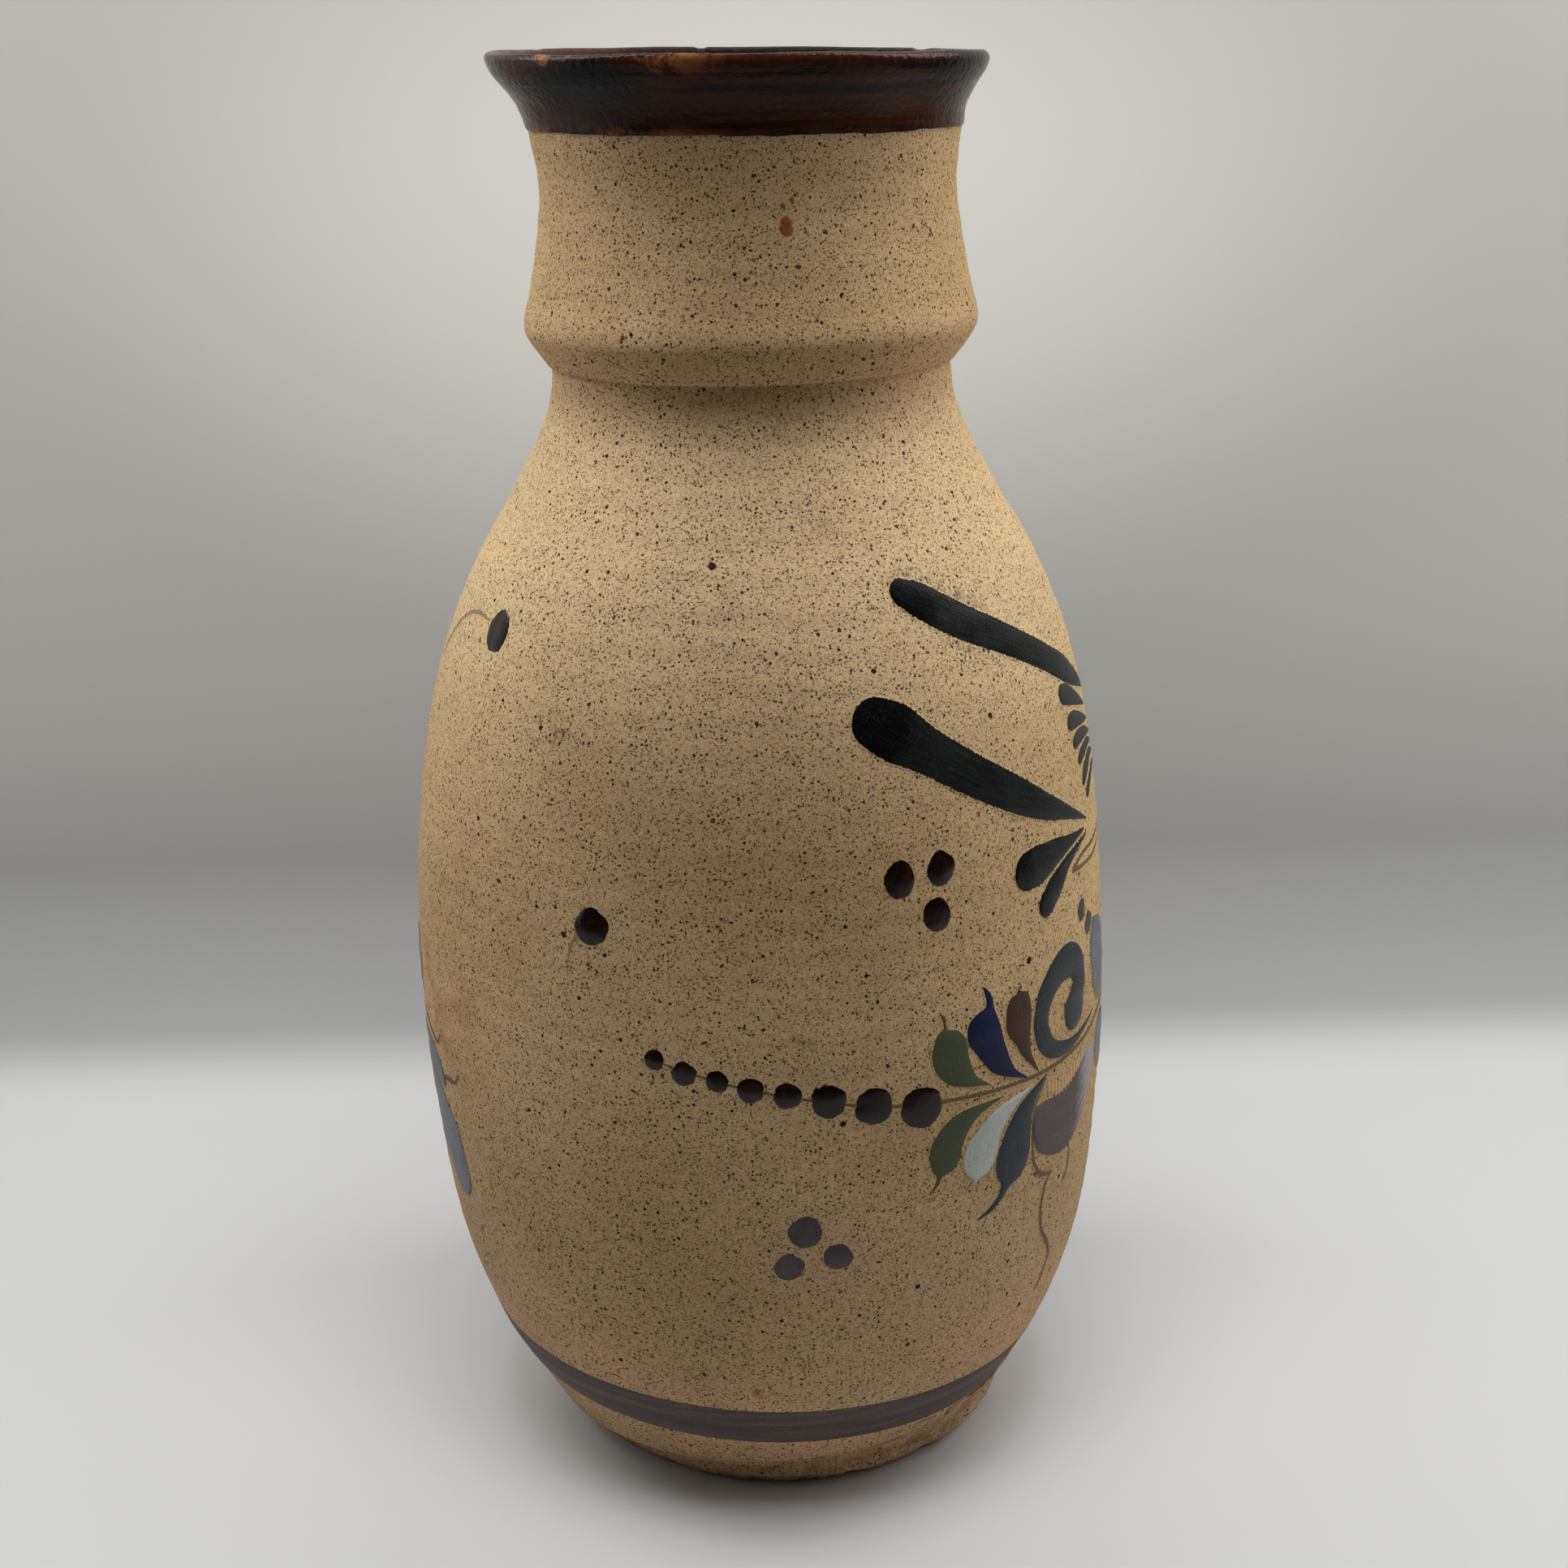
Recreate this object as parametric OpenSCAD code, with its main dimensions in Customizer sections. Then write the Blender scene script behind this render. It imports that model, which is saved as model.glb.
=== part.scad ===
// Hand-thrown stoneware vase with a glazed lip, a slip band above the foot,
// and brush-painted leaves, petals and dots. Millimetres, +Z up, and the
// origin is under the middle of the vase, on the surface it stands on.
// "turn" is the angle round the vase in degrees: 0 faces -Y, 90 faces +X.

/* [Body] */
// Height of the vase, which every other height follows
vase_h = 300; // [240:5:360]
// Widest diameter of the belly
belly_d = 151; // [140:1:165]
// Diameter at the crease where the wall meets the foot
crease_d = 103; // [98:1:110]
// Narrowest diameter at the throat, under the collar
throat_d = 82; // [76:1:90]
// Thickness of the clay wall
wall_t = 4.8; // [4:0.2:6]
// Thickness of the floor
floor_t = 7; // [5:0.5:9]

/* [Foot] */
// Diameter of the foot ring where it stands
foot_d = 94; // [88:1:98]
// Height of the foot ring
foot_h = 6; // [5:0.5:8]
// Width of the ring's standing face
foot_w = 8; // [6:0.5:10]
// Sideways offset of the hand-trimmed foot ring
foot_shift = 3; // [0:0.5:4]

/* [Neck] */
// Diameter over the rounded ridge of the collar
collar_d = 93; // [90:1:98]
// Diameter of the waist between ridge and lip
waist_d = 84; // [80:1:88]
// Diameter over the rolled lip
rim_d = 103; // [98:1:108]
// Thickness of the rolled lip, glaze included
lip_t = 6.6; // [6:0.2:8]

/* [Coats] */
// Thickness of the glaze on the lip and inside
glaze_t = 0.5; // [0.4:0.1:0.8]
// Thickness of the brushed slip and enamel
paint_t = 0.4; // [0.3:0.1:0.6]
// Height of the slip band
band_h = 12; // [8:1:16]
// Tilt of the slip band, which was laid on by eye
band_tilt = 3.5; // [0:0.5:4]

/* [Hidden] */
$fn = 96;

k = vase_h / 300;               // heights below are written for a 300 mm vase
belly_r = belly_d / 2;
crease_r = crease_d / 2;
throat_r = throat_d / 2;
seam_z = 239.5 * k;             // joint between shoulder and neck
floor_z = foot_h + floor_t;
floor_r = crease_r - wall_t - 0.7;
lip_z = vase_h - lip_t / 2;     // centre height of the rolled lip
lip_r = (rim_d - lip_t) / 2;    // centre radius of the rolled lip
glaze_z = 285.5 * k;            // lower edge of the lip glaze
band_z = 23 * k;                // middle height of the slip band
spray = 88;                     // turn of the main spray's middle
side_spray = -92;               // turn of the smaller spray's middle

// Colours
clay = [0.66, 0.56, 0.42];
tenmoku = [0.10, 0.06, 0.04];
slip = [0.33, 0.30, 0.28];
iron_blue = [0.10, 0.12, 0.14];
brown_black = [0.10, 0.05, 0.04];

// ---- Curves ----

// Point at share s between q and r, on a smooth curve through p, q, r, t
function blend(p, q, r, t, s) =
  0.5 * (2 * q + (r - p) * s + (2 * p - 5 * q + 4 * r - t) * s * s
  + (3 * q - p - 3 * r + t) * s * s * s);

// Smooth curve through the points of list c, in n steps from point to point
function smooth(c, n) = [
  for (i = [0:len(c) - 2])
    for (s = [0:n - 1])
      blend(c[max(i - 1, 0)], c[i], c[i + 1], c[min(i + 2, len(c) - 1)], s / n),
  c[len(c) - 1]
];

function flip(c) = [for (i = [len(c) - 1:-1:0]) c[i]];

// Unit vector square to the line c at point i, on its right-hand side
function side(c, i) =
  let (d = c[min(i + 1, len(c) - 1)] - c[max(i - 1, 0)])
  [d[1], -d[0]] / norm([d[0], d[1]]);

// Line c moved sideways by t
function beside(c, t) = [for (i = [0:len(c) - 1]) c[i] + t * side(c, i)];

// ---- Outlines of the vase, as points [radius, height] from the foot up ----

// Share of the way out from crease to belly, and from throat to belly
lower_line = [[6, 0], [16, 0.24], [30, 0.56], [50, 0.82], [75, 0.95], [105, 1]];
upper_line = [[135, 0.965], [160, 0.88], [180, 0.745], [198, 0.53],
  [212, 0.295], [224, 0.11], [232, 0.025], [239.5, 0]];

wall_out = smooth([
  for (p = lower_line) [crease_r + (belly_r - crease_r) * p[1], p[0] == 6 ? foot_h : p[0] * k],
  for (p = upper_line) [throat_r + (belly_r - throat_r) * p[1], p[0] * k]
], 4);

wall_in = concat(
  [[floor_r, floor_z]],
  [for (p = beside(wall_out, -wall_t)) if (p[1] > floor_z + 4 && p[1] < seam_z - 1) p],
  [[throat_r - wall_t, seam_z]]
);

// Outer line of the neck in clay, from the seam to the underside of the lip
neck_out = smooth([
  [throat_r + 1.1, seam_z], [collar_d / 2 - 0.9, seam_z + 5 * k], [collar_d / 2, seam_z + 8.5 * k],
  [collar_d / 2 - 1.8, seam_z + 16 * k], [waist_d / 2 + 0.8, seam_z + 27 * k],
  [waist_d / 2 + 0.1, seam_z + 35 * k], [waist_d / 2 + 1, seam_z + 43 * k],
  [waist_d / 2 + 2.6, seam_z + 49.5 * k], [lip_r + 1.2, lip_z - 2.9]
], 3);

neck_in = smooth([
  [throat_r - wall_t, seam_z], [throat_r - 1.6, seam_z + 8 * k], [waist_d / 2 - 3.9, seam_z + 24 * k],
  [waist_d / 2 - 4.2, seam_z + 36 * k], [waist_d / 2 - 1.8, seam_z + 47 * k], [lip_r - 2.8, lip_z - 1]
], 3);

// Rolled edge of radius r, from the outer side over the top to the inner side
function lip_arc(r) = [for (a = [-40:10:180]) [lip_r + r * cos(a), lip_z + r * sin(a)]];

lip_clay_r = lip_t / 2 - glaze_t;
neck_line = concat(neck_out, lip_arc(lip_clay_r));

// Outer radius of the belly wall at height z
function wall_r(z) = lookup(z, [for (p = wall_out) [p[1], p[0]]]);

// ---- Brushwork ----
// A stroke is a list of stations [turn, height, half width] along its middle.

// Middle line of a stroke, flat on the plane that touches the vase at turn at
function flat_line(path, at) = smooth([
  for (p = path) [wall_r(p[1] * k) * sin(p[0] - at), p[1] * k, p[2] * k]
], 4);

// Outline of a stroke: one edge, a round start, and the other edge back
function stroke_outline(c) = concat(
  [for (i = [len(c) - 1:-1:0]) let (n = side(c, i)) [c[i][0], c[i][1]] + c[i][2] * n],
  [for (a = [30:30:150]) let (n = side(c, 0))
    [c[0][0], c[0][1]] + c[0][2] * (cos(a) * n + sin(a) * [n[1], -n[0]])],
  [for (i = [0:len(c) - 1]) let (n = side(c, i)) [c[i][0], c[i][1]] - c[i][2] * n]
);

function middle_turn(path) = (min([for (p = path) p[0]]) + max([for (p = path) p[0]])) / 2;

// Coat of thickness t on the belly wall between two heights
module wall_coat(t, z0, z1) {
  line = [for (p = wall_out) if (p[1] > z0 - 9 * k && p[1] < z1 + 9 * k) p];
  rotate_extrude() polygon(concat(line, flip(beside(line, t))));
}

// What is drawn flat at a turn, cut from the coat on the wall
module on_wall(at, z0, z1) {
  intersection() {
    wall_coat(paint_t, z0, z1);
    rotate([0, 0, at]) rotate([90, 0, 0]) translate([0, 0, belly_r * 0.3])
      linear_extrude(belly_r) children();
  }
}

module stroke(path) {
  at = middle_turn(path);
  heights = [for (p = path) p[1] * k];
  on_wall(at, min(heights) - 6, max(heights) + 6)
    polygon(stroke_outline(flat_line(path, at)));
}

module strokes(paths) {
  for (p = paths) stroke(p);
}

// Round dots [turn, height, radius]
module dots(list) {
  for (d = list)
    on_wall(d[0], (d[1] - d[2]) * k, (d[1] + d[2]) * k)
      translate([0, d[1] * k]) circle(r = d[2] * k, $fn = 32);
}

// The children and their mirror image on the other side of a spray
module both_sides(at = spray) {
  children();
  mirror([cos(at), sin(at), 0]) children();
}

// ---- Clay ----

module foot_ring() {
  color(clay) translate([foot_shift, 0, 0]) rotate_extrude()
    polygon([
      [foot_d / 2 - foot_w, 0], [foot_d / 2 - 0.6, 0], [foot_d / 2, 0.6],
      [foot_d / 2 + 0.8, foot_h], [foot_d / 2 - foot_w - 2, foot_h]
    ]);
}

module floor_slab() {
  color(clay) translate([0, 0, foot_h]) cylinder(r = floor_r, h = floor_t);
}

module belly_wall() {
  color(clay) rotate_extrude()
    polygon(concat([[floor_r, foot_h]], wall_out, flip(wall_in)));
}

module neck_collar() {
  color(clay) rotate_extrude() polygon(concat(neck_line, flip(neck_in)));
}

// ---- Glaze and slip ----

module lip_glaze() {
  under = [for (p = neck_out) if (p[1] > glaze_z) p];
  inner = lip_arc(lip_clay_r);
  outer = lip_arc(lip_t / 2);
  color(tenmoku) rotate_extrude()
    polygon(concat(under, inner, flip(outer), flip(beside(under, glaze_t))));
}

module liner_glaze() {
  line = concat([[0.01, floor_z], [floor_r - 2, floor_z]], wall_in,
    [for (i = [1:len(neck_in) - 2]) neck_in[i]]);
  color(tenmoku) rotate_extrude() polygon(concat(line, flip(beside(line, -glaze_t))));
}

module foot_band() {
  color(slip) intersection() {
    wall_coat(paint_t, foot_h, 42 * k);
    translate([0, 0, band_z]) rotate([0, band_tilt, 0])
      cylinder(r = belly_d, h = band_h * k, center = true);
  }
}

// ---- Main spray: leaves and fern ----

module upper_leaf_stroke() {
  color(iron_blue) both_sides() stroke([
    [29, 200.6, 2.7], [33, 198.4, 3.5], [40, 194, 3.6], [50, 188.7, 3.3],
    [60, 183, 3.1], [70, 177, 3], [78, 172.4, 1.6], [84, 169, 0.3]
  ]);
}

module lower_leaf_stroke() {
  color(iron_blue) both_sides() stroke([
    [19.5, 178.3, 5], [23, 176, 5.6], [28, 172, 4.6], [36, 165.7, 4.2],
    [45, 159.3, 3.8], [53, 154.2, 2.9], [60, 150.5, 1.6], [69, 145.6, 0.3]
  ]);
}

module small_leaf_strokes() {
  color(iron_blue) both_sides() strokes([
    [[46.8, 143, 4.2], [50, 143.2, 4.2], [55, 144, 2.9], [60, 144.2, 1.5], [67, 144.2, 0.3]],
    [[51.5, 134.4, 3], [54, 136.6, 3], [58, 139.8, 1.9], [63, 141.8, 0.9], [68, 142.8, 0.3]]
  ]);
}

module fern_leaflets() {
  color(iron_blue) both_sides() strokes([
    [[65, 173.3, 2.2], [68, 172.4, 2.3], [73, 170, 1.5], [80, 166.5, 0.3]],
    [[66.2, 167, 1.8], [69, 166.8, 1.9], [74, 165.4, 1.3], [81, 163, 0.3]],
    [[67.3, 162.5, 1.5], [70, 162.8, 1.6], [75, 162.2, 1.2], [82, 160, 0.3]],
    [[68.8, 158.5, 1.4], [71, 159.1, 1.5], [76, 159.5, 1.1], [83, 157.5, 0.3]],
    [[69.8, 153.8, 1.5], [72, 155.2, 1.6], [77, 156.8, 1.1], [84, 155, 0.3]],
    [[71.5, 150.2, 1.2], [74, 151.8, 1.3], [79, 153.6, 0.9], [85, 152.5, 0.3]]
  ]);
}

module fern_stem() {
  color([0.25, 0.17, 0.12]) {
    stroke([[88, 180, 0.3], [88, 170, 0.6], [88, 155, 0.8], [88, 141, 1]]);
    both_sides() strokes([
      [[61, 137.9, 0.6], [66, 139.4, 0.5], [73, 139.4, 0.5], [87, 141, 0.4]],
      [[61, 137.5, 0.6], [66, 136.9, 0.5], [73, 136.9, 0.5], [87, 139.5, 0.4]]
    ]);
  }
}

// ---- Main spray: flower ----

module flower_stem() {
  color([0.27, 0.21, 0.12]) {
    stroke([[27, 101, 0.5], [34, 100, 0.5], [42, 99.1, 0.5], [50, 98.3, 0.6], [58, 98.2, 0.6]]);
    stroke([[58, 98.2, 0.6], [66, 98.9, 0.6], [74, 100.5, 0.6], [88, 102, 0.6]]);
    mirror([cos(spray), sin(spray), 0]) {
      stroke([[27, 101, 0.5], [34, 100, 0.5], [42, 99.1, 0.5], [50, 98.3, 0.6], [58, 98.2, 0.6]]);
      stroke([[58, 98.2, 0.6], [66, 98.9, 0.6], [74, 100.5, 0.6], [88, 102, 0.6]]);
    }
  }
}

module green_petals() {
  color([0.20, 0.22, 0.15]) both_sides() strokes([
    [[27.7, 119.5, 0.2], [28.3, 116.5, 1.2], [28.9, 113, 3.3], [29.8, 109.3, 3.6],
      [31.8, 105.3, 2.2], [34, 102.9, 1], [37, 101.7, 0.2]],
    [[25.4, 80.8, 0.2], [26.7, 83, 0.8], [27.6, 86, 2.6], [28.4, 89.5, 3.4],
      [30.4, 93.2, 2.6], [34, 96.2, 1.2], [39.3, 97.8, 0.2]]
  ]);
}

module cobalt_petals() {
  color([0.07, 0.10, 0.22]) both_sides() stroke([
    [35.2, 122.7, 0.2], [36.4, 119.5, 1.2], [36, 115.6, 4], [36.6, 111.5, 4.4],
    [38.4, 106.5, 3.1], [41, 102.6, 1.6], [45.3, 99.2, 0.2]
  ]);
}

module maroon_petals() {
  color([0.19, 0.11, 0.09]) both_sides() stroke([
    [43, 119.6, 0.3], [43.3, 117.2, 2.6], [43.3, 113.5, 3.8], [43.4, 109.5, 3.2],
    [44.1, 105.5, 1.9], [45.6, 102.3, 0.9], [47.9, 99.6, 0.2]
  ]);
}

module white_petals() {
  color([0.62, 0.65, 0.66]) both_sides() stroke([
    [33, 77.2, 0.3], [33.9, 79.4, 0.5], [34.9, 83, 2.6], [35.2, 87.5, 4.2],
    [37, 91.6, 3.6], [41, 95, 1.9], [47.3, 97.4, 0.3]
  ]);
}

module teal_petals() {
  color([0.12, 0.18, 0.20]) both_sides() stroke([
    [35, 71.2, 0.3], [38.4, 73.4, 1.1], [41.6, 77.8, 3.4], [42.4, 82.5, 5.2],
    [43.2, 87.5, 4.7], [45.4, 92.3, 3], [50.8, 97.3, 0.3]
  ]);
}

module purple_petals() {
  color([0.24, 0.20, 0.20]) both_sides() stroke([
    [51.5, 85.5, 5.5], [54, 84.9, 7.1], [58, 84.9, 7.5], [62, 86.2, 7.4],
    [66, 88.4, 6], [69, 90, 3.5]
  ]);
}

module petal_fringe() {
  color([0.72, 0.62, 0.48]) both_sides() strokes([
    for (i = [0:9]) let (t = 52 + 1.25 * i, dip = 2.2 * sin(18 * i + 9))
      [[t, 97 - dip, 0.5], [t + 0.1, 94.6 - dip, 0.35], [t + 0.3, 92.4 - dip, 0.15]]
  ]);
}

module scroll_strokes() {
  color([0.13, 0.15, 0.16]) both_sides() stroke([
    [59.8, 107.9, 5.1], [60.9, 110.3, 4.3], [61.8, 113.6, 3.6], [60.6, 117.4, 3.7],
    [57.2, 119.3, 3.9], [53, 117.8, 3.5], [50, 114.3, 3], [48.9, 109.6, 2.8],
    [49.8, 105, 2.6], [52.5, 101.9, 2.1], [57, 100.3, 1.6], [62, 100.6, 0.9], [69.4, 102.3, 0.3]
  ]);
}

module heart_petals() {
  color([0.22, 0.24, 0.27]) both_sides() strokes([
    [[73, 118, 4.5], [73.4, 113, 5.6], [74.6, 107, 4.6], [77, 103.4, 2], [80, 102, 0.4]],
    [[76.5, 88.5, 4.8], [76.6, 92, 5.6], [78.4, 96.6, 4], [82.5, 100, 0.4]]
  ]);
}

module bead_string() {
  color(brown_black) both_sides() dots([
    [-16.5, 113.8, 2.1], [-12, 111.4, 2.5], [-7.2, 110, 2.3], [-2.2, 108.3, 2.7],
    [3.2, 106.8, 2.8], [9.3, 105.2, 3.6], [16.3, 102.9, 4], [24, 100.6, 4.6]
  ]);
}

module tendrils() {
  color([0.33, 0.27, 0.18]) both_sides() strokes([
    [[50.2, 96.3, 0.3], [47.3, 91.3, 0.5], [46.9, 85.5, 0.5], [47.3, 79.5, 0.5],
      [49, 75.3, 0.6], [53.6, 72.8, 0.4]],
    [[52.6, 71.6, 0.5], [51.1, 67, 0.6], [51.6, 62, 0.6], [53.8, 57, 0.6],
      [56, 51.8, 0.6], [55.9, 46.5, 0.5], [54.4, 42.4, 0.4]],
    [[59.4, 76.6, 0.3], [59.8, 73.2, 0.4], [59.2, 70, 0.5], [57.8, 68.4, 0.4]]
  ]);
}

// ---- Loose dots ----

module upper_dot_trio() {
  color(brown_black) both_sides() dots([[21.6, 148.4, 3.5], [28.8, 149, 3.4], [27.5, 139.9, 3.5]]);
}

module lower_dot_trio() {
  color(slip) both_sides() dots([[5.3, 76.3, 3.6], [2.6, 68.4, 3.1], [10.1, 69.9, 3.1]]);
}

module side_dots() {
  color(brown_black) dots([[-55.5, 191, 3.9], [-26.3, 139.6, 3.7]]);
}

module grey_dots() {
  color([0.27, 0.24, 0.22]) both_sides() dots([[64, 127.5, 2.4], [67.2, 123.2, 2.6]]);
}

// ---- Smaller spray on the far side ----

module side_petals() {
  color([0.30, 0.32, 0.34]) both_sides(side_spray) strokes([
    [[-67.5, 71.5, 7.4], [-70, 76.5, 9.6], [-74, 82.5, 7.4], [-79, 89, 4], [-86, 95, 0.5]],
    [[-67, 91, 1.8], [-71, 93.4, 3.6], [-77, 95.6, 2.6], [-86, 97.5, 0.5]],
    [[-83, 116, 3.4], [-83, 110, 5], [-86, 104, 3], [-90, 99, 0.5]]
  ]);
}

module side_scrolls() {
  color([0.22, 0.22, 0.22]) both_sides(side_spray) strokes([
    [[-66.8, 100.9, 0.3], [-68.8, 98.9, 0.6], [-73, 99.8, 0.9], [-79, 101.8, 0.9], [-89, 101.6, 0.5]],
    [[-58.9, 96, 0.3], [-61, 93.4, 0.5], [-64, 92.6, 0.7], [-66, 92, 0.7]]
  ]);
}

module dot_tendrils() {
  color([0.42, 0.34, 0.24]) strokes([
    [[-60, 192.3, 0.3], [-66, 192.6, 0.5], [-72, 190.6, 0.5], [-77.5, 186, 0.5], [-82, 180, 0.3]],
    [[-29, 137, 0.7], [-30, 132.5, 0.4], [-30.4, 127, 0.2]]
  ]);
}

foot_ring();
floor_slab();
belly_wall();
neck_collar();
lip_glaze();
liner_glaze();
foot_band();
upper_leaf_stroke();
lower_leaf_stroke();
small_leaf_strokes();
fern_leaflets();
fern_stem();
upper_dot_trio();
lower_dot_trio();
side_dots();
bead_string();
flower_stem();
green_petals();
cobalt_petals();
maroon_petals();
white_petals();
teal_petals();
purple_petals();
petal_fringe();
scroll_strokes();
heart_petals();
grey_dots();
tendrils();
side_petals();
side_scrolls();
dot_tendrils();
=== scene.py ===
import math
import random

import bpy
from mathutils import Matrix, Vector, noise


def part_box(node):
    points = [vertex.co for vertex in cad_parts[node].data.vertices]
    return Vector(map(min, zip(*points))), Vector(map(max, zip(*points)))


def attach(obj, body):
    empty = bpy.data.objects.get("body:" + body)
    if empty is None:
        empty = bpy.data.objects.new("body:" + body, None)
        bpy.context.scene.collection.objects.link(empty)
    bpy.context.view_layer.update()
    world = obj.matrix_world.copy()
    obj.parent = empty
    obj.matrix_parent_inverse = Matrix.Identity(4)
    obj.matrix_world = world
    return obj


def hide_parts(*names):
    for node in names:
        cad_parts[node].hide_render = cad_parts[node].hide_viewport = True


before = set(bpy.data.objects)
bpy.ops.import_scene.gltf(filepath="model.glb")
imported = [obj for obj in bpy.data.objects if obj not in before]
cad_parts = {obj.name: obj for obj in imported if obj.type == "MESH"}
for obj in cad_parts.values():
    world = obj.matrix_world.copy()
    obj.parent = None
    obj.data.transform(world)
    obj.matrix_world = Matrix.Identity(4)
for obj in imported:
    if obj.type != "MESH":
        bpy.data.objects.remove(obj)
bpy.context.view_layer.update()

mm = 0.001
print("frame loaded:", len(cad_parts), "nodes")


def deselectAll():
    if bpy.context.object and bpy.context.object.mode != "OBJECT":
        bpy.ops.object.mode_set(mode="OBJECT")
    bpy.ops.object.select_all(action="DESELECT")


def pickUp(obj):
    deselectAll()
    obj.select_set(True)
    bpy.context.view_layer.objects.active = obj


def smoothLine(points, steps):  # rounded line through given points, any number of values each
    line = []
    for i in range(len(points) - 1):
        a = points[max(i - 1, 0)]
        b, c = points[i], points[i + 1]
        d = points[min(i + 2, len(points) - 1)]
        for k in range(steps):
            s = k / steps
            line.append(tuple(
                0.5 * (2 * q + (r - p) * s + (2 * p - 5 * q + 4 * r - t) * s * s
                       + (3 * q - p - 3 * r + t) * s ** 3)
                for p, q, r, t in zip(a, b, c, d)))
    line.append(tuple(points[-1]))
    return line


def readOutline(node, outward):  # rings of a thrown CAD piece as (height, radius), outside or inside
    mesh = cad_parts[node].data
    rings = {}
    for face in mesh.polygons:
        out = face.normal.x * face.center.x + face.normal.y * face.center.y
        if out * outward > 0.02 * face.center.xy.length:
            for i in face.vertices:
                p = mesh.vertices[i].co
                rings[round(p.z, 5)] = p.xy.length
    return sorted(rings.items())


def finishPiece(obj, node, material, angle=50):
    pickUp(obj)
    bpy.ops.object.shade_smooth_by_angle(angle=math.radians(angle))
    obj.data.materials.clear()
    obj.data.materials.append(material)
    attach(obj, "root")
    if node:
        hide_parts(node)


def startEditing():
    bpy.ops.object.mode_set(mode="EDIT")
    bpy.ops.mesh.select_all(action="SELECT")


def stopEditing():
    bpy.ops.object.mode_set(mode="OBJECT")


def joinAll(parts, name):  # one piece out of several marks
    pickUp(parts[0])
    for part in parts:
        part.select_set(True)
    if len(parts) > 1:
        bpy.ops.object.join()
    parts[0].name = name
    return parts[0]


def thicken(obj, depth):  # gives a brushed sheet its back, inside the clay
    pickUp(obj)
    face = obj.data.polygons[len(obj.data.polygons) // 2]
    if face.normal.x * face.center.x + face.normal.y * face.center.y < 0:
        startEditing()
        bpy.ops.mesh.flip_normals()
        stopEditing()
    back = obj.modifiers.new("back", "SOLIDIFY")
    back.thickness = depth
    back.offset = -1
    bpy.ops.object.modifier_apply(modifier=back.name)


throwing = {
    "ringPitch": 6.2 * mm,     # height of one finger ring
    "ringDepth": 0.10 * mm,
    "lumpDepth": 0.35 * mm,    # slow unevenness of the wall
    "lumpSize": 48 * mm,
    "lipDip": 0.35 * mm,       # how far the lip rises and falls
    "lipTilt": 0.016,          # slope of the mouth, lower on the right
    "lipReach": 20 * mm,       # how far below the top the lip's tilt and dip fade out
    # sideways drift of the pot's middle, as height and shift in mm
    "sway": [(0, 0.2), (50, 0.4), (95, -0.3), (130, -0.6), (175, -0.2), (235, 0.3), (250, 0.5), (275, 0.4),
             (287, 0), (300, -1.2)],
    "creaseMiddle": 9.6 * mm,  # trimmed edge of the wall over the foot, higher on the right
    "creaseTilt": 2.3 * mm,
    "steps": 288,              # faces round the pot
    "footFade": 12 * mm,       # the wall runs true below this
    "core": 5 * mm,            # points nearer the axis stay where they are
}

wallOutside = readOutline("belly_wall", 1)
neckOutside = readOutline("neck_collar", 1)
glazeOutside = readOutline("lip_glaze", 1)
seamHeight = neckOutside[0][0]
topHeight = glazeOutside[-1][0]


def lookUp(table, value):  # smooth read of a table of pairs
    if value <= table[0][0]:
        return table[0][1]
    for i in range(len(table) - 1):
        if value <= table[i + 1][0]:
            (x0, y0), (x1, y1) = table[i], table[i + 1]
            before, after = table[max(i - 1, 0)], table[min(i + 2, len(table) - 1)]
            m0 = (y1 - before[1]) / max(x1 - before[0], 1e-9)
            m1 = (after[1] - y0) / max(after[0] - x0, 1e-9)
            w = x1 - x0
            s = (value - x0) / w
            return ((2 * s ** 3 - 3 * s * s + 1) * y0 + (s ** 3 - 2 * s * s + s) * w * m0
                    + (3 * s * s - 2 * s ** 3) * y1 + (s ** 3 - s * s) * w * m1)
    return table[-1][1]


def wallRadius(height):
    return lookUp(wallOutside if height < seamHeight else neckOutside, height)


swayTable = [(h * mm, s * mm) for h, s in throwing["sway"]]


def facing(p):  # which way a point lies from the axis, as an angle and as a spot on a unit circle
    turn = math.atan2(p.x, -p.y)
    return turn, Vector((math.cos(turn), math.sin(turn), 0))


def atTurn(turn, radius, height):
    return Vector((radius * math.sin(turn), -radius * math.cos(turn), height))


def handThrown(p):  # a point of the true round shape, moved as the potter's hands left it
    t = throwing
    radius = p.xy.length
    if radius < t["core"]:
        return p.copy()
    turn, around = facing(p)
    spot = around * 1.3 + Vector((0, 0, p.z / t["lumpSize"]))
    fade = min(1, p.z / t["footFade"])
    strength = 0.5 + 0.5 * noise.noise(Vector((0, 3.1, p.z / (30 * mm))))
    ring = math.sin(2 * math.pi * p.z / t["ringPitch"] + turn + 2 * noise.noise(spot * 2))
    push = fade * (t["ringDepth"] * ring * strength + t["lumpDepth"] * noise.noise(spot))
    near = max(0, (p.z - topHeight + t["lipReach"]) / t["lipReach"])
    lift = t["lipDip"] * near * (0.6 * math.sin(2 * turn + 0.6) + 0.9 * noise.noise(around * 2.6))
    lift -= t["lipTilt"] * near * p.x
    out = Vector((math.sin(turn), -math.cos(turn), 0)) * (radius + push)
    return Vector((out.x + lookUp(swayTable, p.z), out.y, p.z + lift))


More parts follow.
